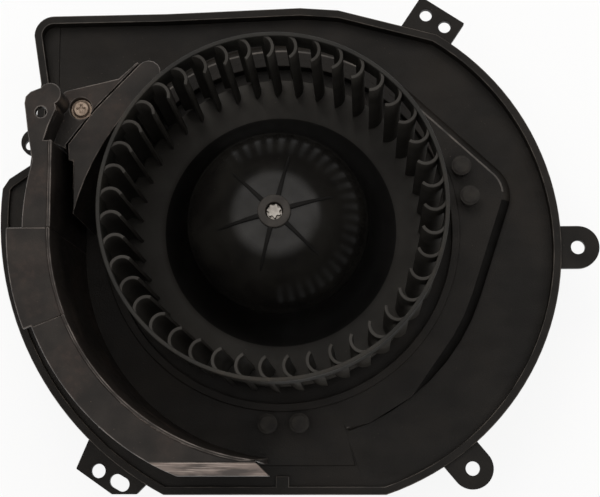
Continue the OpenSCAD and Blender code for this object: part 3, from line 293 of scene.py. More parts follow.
plastics = {
    "plateMoulding": {"dark": (20, 18, 16), "light": (30, 27, 24), "cloud": 22 * mm, "grain": 0.6 * mm,
                      "smear": 18 * mm, "speck": 2.6 * mm, "dust": 0.4, "dustShade": (112, 102, 92),
                      "stain": (40, 36, 32), "stained": 0.5, "gloss": 0.2, "rough": 0.5, "roughSwing": 0.22,
                      "bump": 0.45},
    # lighter edge finish: edge wear together with a painted highlight on the outer edges
    "plateEdgeWearAndHighlight": {"dark": (34, 31, 28), "light": (78, 72, 66), "cloud": 9 * mm, "grain": 0.6 * mm,
                  "smear": 9 * mm, "speck": 2.6 * mm, "dust": 0.3, "dustShade": (130, 120, 108),
                  "stain": (40, 36, 32), "stained": 0.5, "gloss": 0.5, "rough": 0.34, "roughSwing": 0.2,
                  "bump": 0.2},
    # painted shade: near-black plate finish for the pad's slope where it faces away from the light
    "platePaintedShade": {"dark": (8, 7, 6), "light": (14, 13, 12), "cloud": 9 * mm, "grain": 0.6 * mm,
                   "smear": 9 * mm, "speck": 2.6 * mm, "dust": 0.2, "dustShade": (60, 55, 50),
                   "stain": (18, 16, 14), "stained": 0.5, "gloss": 0.1, "rough": 0.6, "roughSwing": 0.2,
                   "bump": 0.3},
    "wallMoulding": {"dark": (31, 28, 26), "light": (42, 38, 35), "cloud": 13 * mm, "grain": 0.8 * mm,
                     "smear": 12 * mm, "speck": 3.0 * mm, "dust": 0.5, "dustShade": (128, 114, 102),
                     "stain": (62, 52, 47), "stained": 0.6, "gloss": 0.22, "rough": 0.4, "roughSwing": 0.26,
                     "bump": 0.22},
    # lighter edge finish: edge wear together with a painted highlight on the wall's outer edges
    "wallEdgeWearAndHighlight": {"dark": (48, 44, 41), "light": (98, 91, 86), "cloud": 7 * mm, "grain": 0.8 * mm,
                 "smear": 9 * mm, "speck": 3.0 * mm, "dust": 0.4, "dustShade": (150, 138, 126),
                 "stain": (60, 52, 46), "stained": 0.5, "gloss": 0.4, "rough": 0.34, "roughSwing": 0.2,
                 "bump": 0.2},
    "wheelSatin": {"dark": (30, 29, 27), "light": (39, 38, 35), "cloud": 20 * mm, "grain": 0.6 * mm,
                   "smear": 14 * mm, "speck": 3.1 * mm, "dust": 0.5, "dustShade": (104, 98, 90),
                   "stain": (60, 54, 47), "stained": 0.55, "gloss": 0.25, "rough": 0.45, "roughSwing": 0.15,
                   "bump": 0.15},
    # painted light: blades and floor are a lighter copy of the ring's plastic
    "wheelInner": {"dark": (43, 41, 38), "light": (54, 52, 49), "cloud": 20 * mm, "grain": 0.6 * mm,
                   "smear": 14 * mm, "speck": 3.1 * mm, "dust": 0.4, "dustShade": (110, 104, 96),
                   "stain": (50, 47, 43), "stained": 0.4, "gloss": 0.2, "rough": 0.48, "roughSwing": 0.15,
                   "bump": 0.15},
    # painted shade: near-black wheel plastic for the dome's foot and the ribs
    "wheelPaintedShade": {"dark": (13, 12, 11), "light": (18, 17, 16), "cloud": 10 * mm, "grain": 0.6 * mm,
                   "smear": 9 * mm, "speck": 3.1 * mm, "dust": 0.2, "dustShade": (70, 66, 62),
                   "stain": (22, 21, 19), "stained": 0.3, "gloss": 0.12, "rough": 0.5, "roughSwing": 0.15,
                   "bump": 0.15},
    "hubSatin": {"dark": (40, 37, 34), "light": (54, 50, 46), "cloud": 5 * mm, "grain": 0.5 * mm,
                 "smear": 5 * mm, "speck": 2.2 * mm, "dust": 0.3, "dustShade": (110, 100, 90),
                 "stain": (36, 31, 28), "stained": 0.5, "gloss": 0.3, "rough": 0.46, "roughSwing": 0.15,
                 "bump": 0.2},
    "capMoulding": {"dark": (22, 21, 21), "light": (30, 28, 28), "cloud": 18 * mm, "grain": 0.5 * mm,
                    "smear": 14 * mm, "speck": 3.2 * mm, "dust": 0.3, "dustShade": (120, 112, 104),
                    "stain": (40, 37, 34), "stained": 0.4, "gloss": 0.25, "rough": 0.5, "roughSwing": 0.2,
                    "bump": 0.3},
    "plugMoulding": {"dark": (26, 25, 25), "light": (34, 32, 32), "cloud": 9 * mm, "grain": 0.5 * mm,
                     "smear": 10 * mm, "speck": 3.0 * mm, "dust": 0.25, "dustShade": (120, 112, 104),
                     "stain": (42, 39, 36), "stained": 0.4, "gloss": 0.35, "rough": 0.4, "roughSwing": 0.15,
                     "bump": 0.15},
    "isolatorRubber": {"dark": (35, 33, 32), "light": (47, 45, 42), "cloud": 5 * mm, "grain": 0.4 * mm,
                       "smear": 7 * mm, "speck": 2.2 * mm, "dust": 0.4, "dustShade": (104, 98, 90),
                       "stain": (50, 46, 42), "stained": 0.4, "gloss": 0.16, "rough": 0.68,
                       "roughSwing": 0.15, "bump": 0.35},
    "blackPhenolic": {"dark": (40, 33, 28), "light": (52, 43, 36), "cloud": 6 * mm, "grain": 0.4 * mm,
                      "smear": 6 * mm, "speck": 2 * mm, "dust": 0.2, "dustShade": (120, 110, 100),
                      "stain": (34, 28, 24), "stained": 0.4, "gloss": 0.4, "rough": 0.4, "roughSwing": 0.15,
                      "bump": 0.15},
    "brownLaminate": {"dark": (96, 64, 40), "light": (120, 82, 52), "cloud": 5 * mm, "grain": 0.5 * mm,
                      "smear": 6 * mm, "speck": 2 * mm, "dust": 0.2, "dustShade": (150, 120, 90),
                      "stain": (84, 54, 34), "stained": 0.5, "gloss": 0.35, "rough": 0.45,
                      "roughSwing": 0.15, "bump": 0.2},
    "paleNylon": {"dark": (200, 194, 180), "light": (216, 210, 196), "cloud": 4 * mm, "grain": 0.4 * mm,
                  "smear": 5 * mm, "speck": 2 * mm, "dust": 0.2, "dustShade": (150, 140, 120),
                  "stain": (180, 166, 140), "stained": 0.4, "gloss": 0.4, "rough": 0.4, "roughSwing": 0.1,
                  "bump": 0.1},
    "pressedCarbon": {"dark": (46, 46, 48), "light": (62, 62, 64), "cloud": 2 * mm, "grain": 0.25 * mm,
                      "smear": 4 * mm, "speck": 1 * mm, "dust": 0.3, "dustShade": (110, 110, 112),
                      "stain": (38, 38, 40), "stained": 0.4, "gloss": 0.3, "rough": 0.55,
                      "roughSwing": 0.15, "bump": 0.3},
    "greyFerrite": {"dark": (52, 54, 57), "light": (70, 72, 76), "cloud": 6 * mm, "grain": 0.4 * mm,
                    "smear": 8 * mm, "speck": 1.5 * mm, "dust": 0.3, "dustShade": (110, 110, 112),
                    "stain": (60, 54, 48), "stained": 0.4, "gloss": 0.4, "rough": 0.5, "roughSwing": 0.2,
                    "bump": 0.2},
    "oiledFelt": {"dark": (150, 134, 104), "light": (190, 176, 146), "cloud": 2 * mm, "grain": 0.3 * mm,
                  "smear": 2 * mm, "speck": 1 * mm, "dust": 0.3, "dustShade": (110, 92, 62),
                  "stain": (128, 106, 70), "stained": 0.6, "gloss": 0.05, "rough": 0.9, "roughSwing": 0.1,
                  "bump": 0.8},
}


# the rubbed edge of the wall's tail: scraped along its length, and painted lighter as a painted highlight
wornAndHighlight = {
    "wallWornAndHighlight": {"dark": (66, 57, 52), "light": (128, 114, 106), "scrapeAndHighlight": (196, 182, 172), "scrapedAndHighlight": 0.5,
                 "streak": 1.1 * mm, "lay": (0.05, 1, 1), "streakBand": (0.55, 0.68), "patch": 7 * mm,
                 "patchLay": (0.3, 1, 1), "patchBand": (0.4, 0.6), "gloss": 0.4, "rough": 0.4,
                 "roughSwing": 0.2, "bump": 0.35, "depth": 0.4},
}


# lighter tone with whitish streaks: scrape wear together with a painted highlight
def wornAndHighlightPlastic(name, look):
    finish = Finish(name, {"Specular IOR Level": look["gloss"]})
    streaks = finish.noise(look["streak"], detail=4, place=finish.stretched(look["lay"]))
    patches = finish.noise(look["patch"], detail=5, place=finish.stretched(look["patchLay"]))
    light = finish.window(patches, *look["patchBand"])
    tone = finish.blend(shade(*look["dark"]), shade(*look["light"]), light)
    scrapeAndHighlight = finish.window(streaks, *look["streakBand"]) * look["scrapedAndHighlight"]
    return finish.feed(Base_Color=finish.blend(tone, shade(*look["scrapeAndHighlight"]), scrapeAndHighlight),
                       Roughness=look["rough"] + finish.swing(streaks, look["roughSwing"]),
                       Normal=finish.bump(streaks, look["bump"], look["streak"] * look["depth"]))


# the wheel's dome: its cap is polished, and the polish fades out towards the flank
domes = {
    "wheelDome": {"dark": (17, 16, 15), "light": (26, 25, 23), "cloud": 18 * mm, "smear": 13 * mm,
                  "speck": 3.4 * mm, "dust": 0.3, "dustShade": (96, 90, 84), "gloss": 0.04, "rough": 0.2,
                  "roughSwing": 0.1, "capBand": (16 * mm, 23 * mm), "coat": 0.85, "coatSwing": 1.0,
                  "coatRough": 0.2, "coatIor": 1.45},
}


def domePlastic(name, look):
    finish = Finish(name, {"Specular IOR Level": look["gloss"], "Coat Roughness": look["coatRough"],
                           "Coat IOR": look["coatIor"]})
    flat = finish.stretched((1, 1, 0))  # its length is the distance from the shaft's axis
    out = finish.node("ShaderNodeVectorMath", {"operation": "LENGTH"}, {0: flat}, "Value")
    cap = 1 - finish.window(out, *look["capBand"])
    smear = finish.noise(look["smear"], detail=3)
    dust = finish.dust(look)
    tone = finish.tone(look, grime["cloudBand"])
    rough = look["rough"] + finish.swing(smear, look["roughSwing"]) + dust * grime["dirtRough"]
    return finish.feed(Base_Color=finish.blend(tone, shade(*look["dustShade"]), dust), Roughness=rough,
                       Coat_Weight=cap * (look["coat"] + finish.swing(smear, look["coatSwing"])))


plating = {"cloudBand": (0.3, 0.72), "stainSize": 0.6, "stainBand": (0.56, 0.78), "lineDepth": 0.4}


def platedMetal(name, look):
    finish = Finish(name, {"Metallic": look["metal"]})
    lines = finish.noise(look["line"], detail=3, place=finish.stretched(look["lay"]))
    flakes = finish.cells(look["flake"], "Color")
    spangle = finish.node("ShaderNodeSeparateColor", {}, {"Color": flakes}, "Red")
    blots = finish.noise(look["cloud"] * plating["stainSize"], detail=5)
    stain = finish.window(blots, *plating["stainBand"]) * look["stained"]
    tone = finish.blend(finish.tone(look, plating["cloudBand"]), shade(*look["stain"]), stain)
    rough = look["rough"] + finish.swing(lines, look["roughSwing"])
    return finish.feed(Base_Color=tone, Roughness=rough + finish.swing(spangle, look["spangle"]),
                       Normal=finish.bump(lines, look["bump"], look["line"] * plating["lineDepth"]))


metals = {
    "groundSteel": {"metal": 1.0, "dark": (150, 145, 139), "light": (200, 195, 188), "cloud": 6 * mm,
                    "line": 0.4 * mm, "lay": (1, 1, 4), "flake": 2 * mm, "spangle": 0.0,
                    "stain": (120, 108, 96), "stained": 0.3, "rough": 0.3, "roughSwing": 0.2, "bump": 0.12},
    "drawnCan": {"metal": 0.95, "dark": (128, 130, 133), "light": (166, 168, 170), "cloud": 16 * mm,
                 "line": 0.7 * mm, "lay": (1, 1, 0.08), "flake": 3 * mm, "spangle": 0.03,
                 "stain": (118, 112, 104), "stained": 0.35, "rough": 0.36, "roughSwing": 0.22, "bump": 0.1},
    "zincSheet": {"metal": 0.9, "dark": (118, 120, 124), "light": (158, 160, 163), "cloud": 14 * mm,
                  "line": 0.6 * mm, "lay": (1, 1, 1), "flake": 4.5 * mm, "spangle": 0.16,
                  "stain": (134, 126, 114), "stained": 0.3, "rough": 0.42, "roughSwing": 0.15,
                  "bump": 0.08},
    "zincScrew": {"metal": 1.0, "dark": (150, 151, 150), "light": (188, 188, 185), "cloud": 4 * mm,
                  "line": 0.3 * mm, "lay": (1, 1, 1), "flake": 1.5 * mm, "spangle": 0.05,
                  "stain": (120, 114, 106), "stained": 0.35, "rough": 0.32, "roughSwing": 0.2, "bump": 0.1},
    "yellowZinc": {"metal": 0.55, "dark": (134, 117, 103), "light": (174, 155, 138), "cloud": 3.5 * mm,
                   "line": 0.35 * mm, "lay": (1, 1, 1), "flake": 1.5 * mm, "spangle": 0.05,
                   "stain": (150, 126, 104), "stained": 0.5, "rough": 0.42, "roughSwing": 0.2,
                   "bump": 0.12},
    "springStrip": {"metal": 1.0, "dark": (140, 142, 144), "light": (174, 176, 178), "cloud": 6 * mm,
                    "line": 0.3 * mm, "lay": (1, 1, 0.1), "flake": 2 * mm, "spangle": 0.02,
                    "stain": (110, 104, 96), "stained": 0.25, "rough": 0.3, "roughSwing": 0.15,
                    "bump": 0.06},
    "stackedSheet": {"metal": 0.9, "dark": (96, 97, 100), "light": (126, 127, 130), "cloud": 8 * mm,
                     "line": 0.5 * mm, "lay": (0.05, 0.05, 1), "flake": 2 * mm, "spangle": 0.02,
                     "stain": (92, 82, 72), "stained": 0.4, "rough": 0.42, "roughSwing": 0.25, "bump": 0.3},
    "enamelledWire": {"metal": 0.7, "dark": (120, 62, 34), "light": (176, 100, 58), "cloud": 5 * mm,
                      "line": 0.9 * mm, "lay": (1, 1, 0.25), "flake": 2 * mm, "spangle": 0.02,
                      "stain": (92, 46, 26), "stained": 0.4, "rough": 0.32, "roughSwing": 0.2, "bump": 0.7},
    "turnedCopper": {"metal": 1.0, "dark": (176, 108, 70), "light": (206, 138, 98), "cloud": 5 * mm,
                     "line": 0.3 * mm, "lay": (0.1, 0.1, 1), "flake": 2 * mm, "spangle": 0.02,
                     "stain": (110, 66, 46), "stained": 0.35, "rough": 0.3, "roughSwing": 0.2, "bump": 0.2},
    "sinteredBronze": {"metal": 0.85, "dark": (140, 104, 62), "light": (176, 136, 88), "cloud": 3 * mm,
                       "line": 0.3 * mm, "lay": (1, 1, 1), "flake": 0.6 * mm, "spangle": 0.15,
                       "stain": (96, 70, 44), "stained": 0.5, "rough": 0.5, "roughSwing": 0.2, "bump": 0.4},
    "foldedBrass": {"metal": 1.0, "dark": (170, 138, 74), "light": (204, 172, 104), "cloud": 5 * mm,
                    "line": 0.4 * mm, "lay": (0.1, 1, 1), "flake": 2 * mm, "spangle": 0.02,
                    "stain": (124, 96, 56), "stained": 0.35, "rough": 0.3, "roughSwing": 0.2, "bump": 0.1},
    "tinnedBrass": {"metal": 1.0, "dark": (180, 170, 138), "light": (208, 200, 170), "cloud": 4 * mm,
                    "line": 0.3 * mm, "lay": (1, 0.1, 1), "flake": 2 * mm, "spangle": 0.04,
                    "stain": (150, 136, 100), "stained": 0.3, "rough": 0.28, "roughSwing": 0.15,
                    "bump": 0.08},
}
finishes = {}
for makeFinish, looks in ((mouldedPlastic, plastics), (wornAndHighlightPlastic, wornAndHighlight), (domePlastic, domes),
                          (platedMetal, metals)):
    finishes.update({name: makeFinish(name, look) for name, look in looks.items()})

# finish of each node of the frame
nodeFinish = {
    "blower_wheel": "wheelSatin", "motor_shaft": "groundSteel", "armature_core": "stackedSheet",
    "armature_winding": "enamelledWire", "commutator_bars": "turnedCopper",
    "commutator_sleeve": "blackPhenolic", "thrust_washers": "paleNylon", "base_plate": "plateMoulding",
    "cutoff_wall": "wallMoulding", "cutoff_screws": "yellowZinc", "isolator_right": "isolatorRubber",
    "isolator_bottom": "isolatorRubber", "isolator_left": "isolatorRubber", "motor_bracket": "zincSheet",
    "bracket_screws": "zincScrew", "motor_can": "drawnCan", "rear_cap": "capMoulding",
    "cap_screws": "zincScrew", "front_bearing": "sinteredBronze", "rear_bearing": "sinteredBronze",
    "front_retainer": "springStrip", "rear_retainer": "springStrip", "oil_felts": "oiledFelt",
    "field_magnets": "greyFerrite", "magnet_clips": "springStrip", "brush_card": "brownLaminate",
    "brush_holders": "foldedBrass", "chokes": "enamelledWire", "terminals": "tinnedBrass",
    "connector_socket": "plugMoulding", "brush_right": "pressedCarbon", "brush_left": "pressedCarbon",
    "brush_spring_right": "springStrip", "brush_spring_left": "springStrip",
}
for nodeName, finishName in nodeFinish.items():
    for place in nodes[nodeName].material_slots:
        place.material = finishes[finishName]
print("finishes made:", len(finishes))


# helpers for the pieces
def addPiece(name, bm, finishNames, body, stands, sharp=32):
    mesh = bpy.data.meshes.new(name)
    bm.to_mesh(mesh)
    bm.free()
    for face in mesh.polygons:
        face.use_smooth = True
    mesh.set_sharp_from_angle(angle=math.radians(sharp))
    piece = bpy.data.objects.new(name, mesh)
    scene.collection.objects.link(piece)
    for finishName in finishNames:
        mesh.materials.append(finishes[finishName])
    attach(piece, body)
    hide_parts(*stands)
    return piece


def tidyMesh(bm):
    bmesh.ops.remove_doubles(bm, verts=bm.verts, dist=weldGap)
    bmesh.ops.recalc_face_normals(bm, faces=bm.faces)


def roundEdges(bm, edges, width, segments, clamp=True):
    return bmesh.ops.bevel(bm, geom=edges, offset=width, offset_type="OFFSET", segments=segments,
                           profile=0.5, affect="EDGES", clamp_overlap=clamp, material=-1)["faces"]


def raisedPoints(bm, faces):  # extrudes the faces and gives the new points
    made = bmesh.ops.extrude_face_region(bm, geom=faces)["geom"]
    return [v for v in made if isinstance(v, bmesh.types.BMVert)]


def across(vector):  # distance from the shaft's axis
    return math.hypot(vector.x, vector.y)


# pieces with softened edges: copies of the solids, merged and bevelled, with wear and a painted highlight, a
# lighter edge finish, on the outer edges, painted shade on the pad's slope and a painted highlight on the
# wall's tail;
# angles are in degrees, gentle in radians, and what a piece leaves out is taken from usualEdge
usualEdge = {"segments": 2, "angle": 40, "merge": weldGap, "shortest": 0, "hollows": True, "edgeAbove": 0,
             "edgeReach": 0}
softening = {"flat": 0.6, "slack": 0.05 * mm, "upright": 0.1, "gentle": 0.1, "sliver": 3e-6, "sharp": 20}
softEdges = {
    "base_plate": {"width": 0.45 * mm, "hollows": False, "edge": "plateEdgeWearAndHighlight", "slot": "plate_plastic",
                   "edgeAbove": 46.8 * mm, "edgeReach": 100 * mm,
                   "lift": {"level": 44.5 * mm, "rise": 1.5 * mm, "angle": -72, "within": 0.8,
                            "near": 100 * mm, "far": 124 * mm},
                   "slope": {"level": 46 * mm, "reach": 95 * mm, "segments": 8, "finish": "platePaintedShade",
                             "lit": 0.1, "flat": 0.98, "shaded": -0.2, "shadedDrop": 2 * mm,
                             "steps": [(4 * mm, 4.4 * mm), (3 * mm, 3 * mm), (2 * mm, 2 * mm),
                                       (1.2 * mm, 1.2 * mm)]}},
    "cutoff_wall": {"width": 0.5 * mm, "angle": 35, "edge": "wallEdgeWearAndHighlight", "slot": "wall_plastic",
                    "merge": 0.2 * mm, "shortest": 0.3 * mm,
                    "wornAndHighlight": {"finish": "wallWornAndHighlight", "low": 110 * mm, "front": -0.5, "top": 0.4}},
    "cutoff_screws": {"width": 0.25 * mm, "edge": "yellowZinc", "slot": "yellow_zinc"},
    "isolator_right": {"width": 0.5 * mm, "edge": "isolatorRubber", "slot": "isolator_rubber"},
    "isolator_bottom": {"width": 0.5 * mm, "edge": "isolatorRubber", "slot": "isolator_rubber"},
    "isolator_left": {"width": 0.5 * mm, "edge": "isolatorRubber", "slot": "isolator_rubber"},
    "motor_bracket": {"width": 0.3 * mm, "edge": "zincSheet", "slot": "bracket_zinc"},
    "bracket_screws": {"width": 0.25 * mm, "edge": "zincScrew", "slot": "screw_zinc"},
    "motor_can": {"width": 0.4 * mm, "segments": 3, "edge": "drawnCan", "slot": "can_steel"},
    "rear_cap": {"width": 0.4 * mm, "angle": 30, "edge": "plateEdgeWearAndHighlight", "slot": "cap_plastic"},
    "cap_screws": {"width": 0.2 * mm, "edge": "zincScrew", "slot": "screw_zinc"},
    "connector_socket": {"width": 0.3 * mm, "edge": "plateEdgeWearAndHighlight", "slot": "connector_plastic"},
}


def liftRamp(bm, lift):  # the floor's ramp starts flush with the pad
    low = [v for v in bm.verts if abs(v.co.z - lift["level"]) < softening["slack"]
           and abs(math.degrees(math.atan2(v.co.y, v.co.x)) - lift["angle"]) < lift["within"]
           and lift["near"] < across(v.co) < lift["far"]]
    bmesh.ops.translate(bm, verts=low, vec=(0, 0, lift["rise"]))
    bmesh.ops.remove_doubles(bm, verts=bm.verts, dist=weldGap)


def isPadEdge(edge, slope, drop):  # outer top edge of the raised pad, where it drops to the floor
    level = all(abs(v.co.z - slope["level"]) < softening["slack"] for v in edge.verts)
    middle = (edge.verts[0].co + edge.verts[1].co) / 2
    if not level or not edge.is_convex or across(middle) < slope["reach"]:
        return False
    walls = [face for face in edge.link_faces
             if abs(face.normal.z) < softening["upright"] and len(face.verts) > 3]  # no slivers
    return any(min(v.co.z for v in face.verts) < slope["level"] - drop and face.normal.dot(middle) > 0
               for face in walls)


def slopePad(bm, slope):  # the slope narrows where the floor rises to the pad
    for drop, width in slope["steps"]:
        edges = [edge for edge in bm.edges if isPadEdge(edge, slope, drop)]
        for face in roundEdges(bm, edges, width, slope["segments"], clamp=False):
            facing = face.normal.y / max(across(face.normal), weldGap)
            # the flat top facet on the side facing the light gets the lighter edge finish: a painted
            # highlight
            if facing > slope["lit"] and face.normal.z > slope["flat"]:
                face.material_index = 1
            # slope facets facing away from the light get the painted shade
            elif facing < slope["shaded"] and drop > slope["shadedDrop"]:
                face.material_index = 2


def roundCrisp(bm, look):
    limit = math.radians(look["angle"])
    crisp = [edge for edge in bm.edges if edge.is_manifold and edge.calc_face_angle(0) > limit
             and edge.calc_length() > look["shortest"] and (edge.is_convex or look["hollows"])]
    for face in roundEdges(bm, crisp, look["width"], look["segments"], clamp=False):
        middle = face.calc_center_median()
        shown = middle.z > look["edgeAbove"] and across(middle) > look["edgeReach"]
        longest = sorted(face.edges, key=lambda edge: edge.calc_length())[-2:]
        # shown outer bevels get the lighter edge finish: wear and a painted highlight
        if shown and all(edge.is_convex or edge.calc_face_angle(0) < softening["gentle"] for edge in longest):
            face.material_index = 1


# faces on the tail's slanted front, toward the front lamp, get the painted highlight with scrape streaks
def rubAndHighlightTail(bm, rubAndHighlight):  # the slanted front of the wall's tail
    for face in bm.faces:
        high = face.calc_center_median().z > rubAndHighlight["low"]
        if high and face.normal.y < rubAndHighlight["front"] and face.normal.z > rubAndHighlight["top"]:
            face.material_index = 2


def addSoftEdged(nodeName, look):
    bm = bmesh.new()
    bm.from_mesh(nodes[nodeName].data)
    finishNames = [nodeFinish[nodeName], look["edge"]]
    bmesh.ops.remove_doubles(bm, verts=bm.verts, dist=look["merge"])
    bmesh.ops.dissolve_limit(bm, angle_limit=math.radians(softening["flat"]), verts=bm.verts, edges=bm.edges)
    if "lift" in look:
        liftRamp(bm, look["lift"])
    if "slope" in look:
        slopePad(bm, look["slope"])
        finishNames.append(look["slope"]["finish"])
    roundCrisp(bm, look)
    if "wornAndHighlight" in look:
        rubAndHighlightTail(bm, look["wornAndHighlight"])
        finishNames.append(look["wornAndHighlight"]["finish"])
    bmesh.ops.dissolve_degenerate(bm, dist=softening["sliver"], edges=bm.edges)  # where bevels meet
    piece = addPiece(nodeName + "Soft", bm, finishNames, "housing", [nodeName],
                     softening["sharp"])
    piece.modifiers.new("evenShading", "WEIGHTED_NORMAL").keep_sharp = True


for nodeName, look in softEdges.items():
    addSoftEdged(nodeName, {**usualEdge, **look})
print("edges softened on", len(softEdges), "nodes")


# wheel: ring, blades, dome with floor and hub, ribs
wheel = {
    "radius": 80 * mm, "rim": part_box("blower_wheel")[1][2], "ringHeight": 18 * mm, "ringThick": 1.9 * mm,
    "ringRound": 0.45 * mm, "floor": 50 * mm, "floorThick": 2.2 * mm, "floorRadius": 77 * mm,
    "domeBase": 60 * mm, "domeEdge": 57 * mm, "shoulder": 44 * mm, "shoulderRise": 25 * mm,
    "domeRise": 60 * mm, "hub": 7.7 * mm, "hubLength": 20 * mm, "hubRise": 2 * mm, "hubLap": 1 * mm,
    "hubGap": 0.2 * mm, "bore": 4 * mm, "edgeRound": 0.5 * mm, "cornerSegments": 3, "steps": 192,
    "curveSteps": 28, "crisp": 1,  # crisp is an angle in radians
}
wheel["hubTop"] = wheel["floor"] + wheel["domeRise"] + wheel["hubRise"]
blade = {"count": 43, "arc": 5.6 * mm, "thick": 1.5 * mm, "sweep": 149, "phase": 2.3, "drop": 1 * mm,
         "steps": 14, "round": 0.3 * mm, "roundAbove": 1 * mm}
rib = {"count": 6, "thick": 2.1 * mm, "tipThick": 0.9 * mm, "rise": 1.7 * mm, "tipRise": 0.2 * mm,
       "sink": 0.6 * mm, "runOut": 1.6, "reach": 28 * mm, "phase": 16, "round": 0.25 * mm}


def revolve(points, corners, rounding):
    bm = bmesh.new()
    rim = [bm.verts.new((r, 0, z)) for r, z in points]
    for first, second in zip(rim, rim[1:] + rim[:1]):
        bm.edges.new((first, second))
    bmesh.ops.bevel(bm, geom=[rim[i] for i in corners], offset=rounding, offset_type="OFFSET",
                    segments=wheel["cornerSegments"], profile=0.5, affect="VERTICES", clamp_overlap=True,
                    material=-1)
    bmesh.ops.spin(bm, geom=bm.verts[:] + bm.edges[:], cent=(0, 0, 0), axis=(0, 0, 1), dvec=(0, 0, 0),
                   angle=2 * math.pi, steps=wheel["steps"], use_merge=True, use_normal_flip=False,
                   use_duplicate=False)
    tidyMesh(bm)
    return bm


def copyAround(bm, count, phase):
    bmesh.ops.spin(bm, geom=bm.verts[:] + bm.edges[:] + bm.faces[:], cent=(0, 0, 0), axis=(0, 0, 1),
                   dvec=(0, 0, 0), angle=2 * math.pi * (count - 1) / count, steps=count - 1,
                   use_merge=False, use_normal_flip=False, use_duplicate=True)
    turn = Matrix.Rotation(math.radians(phase), 3, "Z")
    bmesh.ops.rotate(bm, cent=(0, 0, 0), matrix=turn, verts=bm.verts)


def domeLine(depth):  # half section of the dome's skin, let down by depth
    shoulder, top = wheel["shoulder"] - depth, wheel["domeRise"] - depth
    start = wheel["hub"] - wheel["hubLap"]
    count = wheel["curveSteps"]
    turns = [math.pi / 2 * i / count for i in range(count + 1)]
    foot = [(shoulder + (wheel["domeBase"] - wheel["shoulder"]) * (1 - math.sin(t)),
             -depth + (wheel["shoulderRise"] + depth) * (1 - math.cos(t))) for t in turns]
    cap = [(start + (shoulder - start) * math.cos(t),
            wheel["shoulderRise"] + (top - wheel["shoulderRise"]) * math.sin(t)) for t in turns[1:]]
    return [(r, wheel["floor"] + z) for r, z in foot + cap]


def addRing():
    low, high = wheel["rim"] - wheel["ringHeight"], wheel["rim"]
    outer, inner = wheel["radius"], wheel["radius"] - wheel["ringThick"]
    section = [(inner, low), (outer, low), (outer, high), (inner, high)]
    bm = revolve(section, range(len(section)), wheel["ringRound"])
    addPiece("wheelRing", bm, ["wheelSatin"], "rotor", ["blower_wheel"])


def addDome():
    hub, bore, hubTop, edge = wheel["hub"], wheel["bore"], wheel["hubTop"], wheel["floorRadius"]
    hubLow = hubTop - wheel["hubLength"]
    outer = [(r, z) for r, z in domeLine(0) if r > hub + wheel["hubGap"]]
    inner = [(r, z) for r, z in domeLine(wheel["floorThick"]) if r > hub + wheel["hubGap"]]
    points = [(edge, wheel["floor"] - wheel["floorThick"]), (edge, wheel["floor"])] + outer
    points += [(hub, outer[-1][1]), (hub, hubTop), (bore, hubTop), (bore, hubLow), (hub, hubLow),
               (hub, inner[-1][1])] + inner[::-1]
    hubAt = 2 + len(outer)
    bm = revolve(points, [0, 1, hubAt + 1, hubAt + 2, hubAt + 3, hubAt + 4], wheel["edgeRound"])
    piece = addPiece("wheelDome", bm, ["wheelInner", "hubSatin", "wheelDome", "wheelPaintedShade"], "rotor",
                     ["blower_wheel"])
    limits = [hub, wheel["shoulder"]]
    # the foot's dark finish is painted shade
    for face in piece.data.polygons:  # from the hub outwards: satin hub, polished dome, dark foot, floor
        out = across(face.center)
        if out < wheel["domeEdge"] and face.center.z > wheel["floor"]:
            face.material_index = 1 + sum(out > limit for limit in limits)


def addBlades():
    middle = wheel["radius"] - wheel["ringThick"] / 2 - blade["arc"]
    low, high = wheel["floor"] - wheel["floorThick"] / 2, wheel["rim"] - blade["drop"]
    bm = bmesh.new()
    ends = [bm.verts.new((middle + blade["arc"] + s * blade["thick"] / 2, 0, low)) for s in (-1, 1)]
    start = bm.edges.new(ends)
    bmesh.ops.spin(bm, geom=ends + [start], cent=(middle, 0, 0), axis=(0, 0, 1), dvec=(0, 0, 0),
                   angle=-math.radians(blade["sweep"]), steps=blade["steps"], use_merge=False,
                   use_normal_flip=False, use_duplicate=False)
    bmesh.ops.translate(bm, verts=raisedPoints(bm, bm.faces[:]), vec=(0, 0, high - low))
    tidyMesh(bm)
    crisp = [edge for edge in bm.edges if edge.calc_face_angle(0) > wheel["crisp"]
             and min(v.co.z for v in edge.verts) > low + blade["roundAbove"]]
    roundEdges(bm, crisp, blade["round"], segments=2)
    copyAround(bm, blade["count"], blade["phase"])
    addPiece("wheelBlades", bm, ["wheelInner"], "rotor", ["blower_wheel"])


def ribShare(out):  # 0 at the hub, 1 at the rib's tip
    return max((out - wheel["hub"]) / (rib["reach"] - wheel["hub"]), 0)


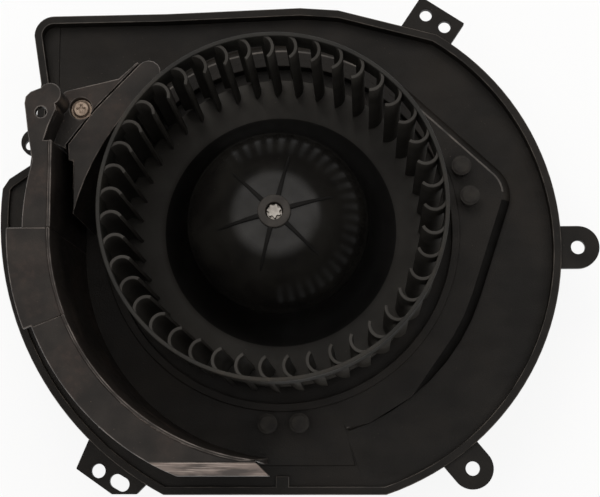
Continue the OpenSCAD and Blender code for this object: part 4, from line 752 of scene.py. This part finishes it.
def addRibs():
    line = [(r, z) for r, z in domeLine(rib["sink"]) if r < rib["reach"]]
    half = [(rib["thick"] + (rib["tipThick"] - rib["thick"]) * ribShare(r)) / 2 for r, z in line]
    bm = bmesh.new()
    rows = [[bm.verts.new((r, s * w, z)) for (r, z), w in zip(line, half)] for s in (-1, 1)]
    edges = [bm.edges.new(pair) for row in rows for pair in zip(row, row[1:])]
    bmesh.ops.bridge_loops(bm, edges=edges)
    for v in raisedPoints(bm, bm.faces[:]):  # ribs run out towards the shoulder
        fall = (rib["tipRise"] - rib["rise"]) * ribShare(v.co.x) ** rib["runOut"]
        v.co.z += rib["sink"] + rib["rise"] + fall
    tidyMesh(bm)
    crisp = [edge for edge in bm.edges if edge.calc_face_angle(0) > wheel["crisp"]]
    roundEdges(bm, crisp, rib["round"], segments=2)
    copyAround(bm, rib["count"], rib["phase"])
    # the ribs take the painted-shade finish, dark as the shadow of the fins
    addPiece("wheelRibs", bm, ["wheelPaintedShade"], "rotor", ["blower_wheel"])


addRing()
addDome()
addBlades()
addRibs()
print("wheel made with", blade["count"], "blades")


# shaft: ground bar whose end is broached to a star in the hub's bore
shaft = {"radius": 4 * mm, "low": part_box("motor_shaft")[0][2], "high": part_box("motor_shaft")[1][2],
         "neck": 4 * mm, "lap": 1 * mm, "lobes": 7, "lobePoints": 4, "lobeOut": 3.35 * mm,
         "lobeIn": 2.5 * mm, "segments": 64, "chamfer": 0.5 * mm, "starRound": 0.25 * mm}


def addShaft():
    bm = bmesh.new()
    length = shaft["high"] - shaft["low"] - shaft["neck"]
    bar = bmesh.ops.create_cone(bm, cap_ends=True, segments=shaft["segments"], radius1=shaft["radius"],
                                radius2=shaft["radius"], depth=length)["verts"]
    bmesh.ops.translate(bm, verts=bar, vec=(0, 0, shaft["low"] + length / 2))
    rims = [edge for edge in bm.edges if abs(edge.verts[0].co.z - edge.verts[1].co.z) < weldGap]
    roundEdges(bm, rims, shaft["chamfer"], segments=1)
    star = bmesh.ops.create_circle(bm, cap_ends=True, segments=shaft["lobes"] * shaft["lobePoints"],
                                   radius=shaft["lobeOut"])["verts"]
    valleys = [v for i, v in enumerate(star) if i % shaft["lobePoints"] >= shaft["lobePoints"] / 2]
    inset = shaft["lobeIn"] / shaft["lobeOut"]
    bmesh.ops.scale(bm, vec=(inset, inset, 1), verts=valleys)
    bmesh.ops.translate(bm, verts=star, vec=(0, 0, shaft["high"] - shaft["neck"] - shaft["lap"]))
    end = [face for face in bm.faces if all(v in star for v in face.verts)]
    lifted = raisedPoints(bm, end)
    bmesh.ops.translate(bm, verts=lifted, vec=(0, 0, shaft["neck"] + shaft["lap"]))
    bmesh.ops.recalc_face_normals(bm, faces=bm.faces)
    rims = [edge for edge in bm.edges if all(v in lifted for v in edge.verts)]
    roundEdges(bm, rims, shaft["starRound"], segments=2)
    addPiece("shaftBar", bm, ["groundSteel"], "rotor", ["motor_shaft"])


addShaft()
print("shaft made with", shaft["lobes"], "lobes")
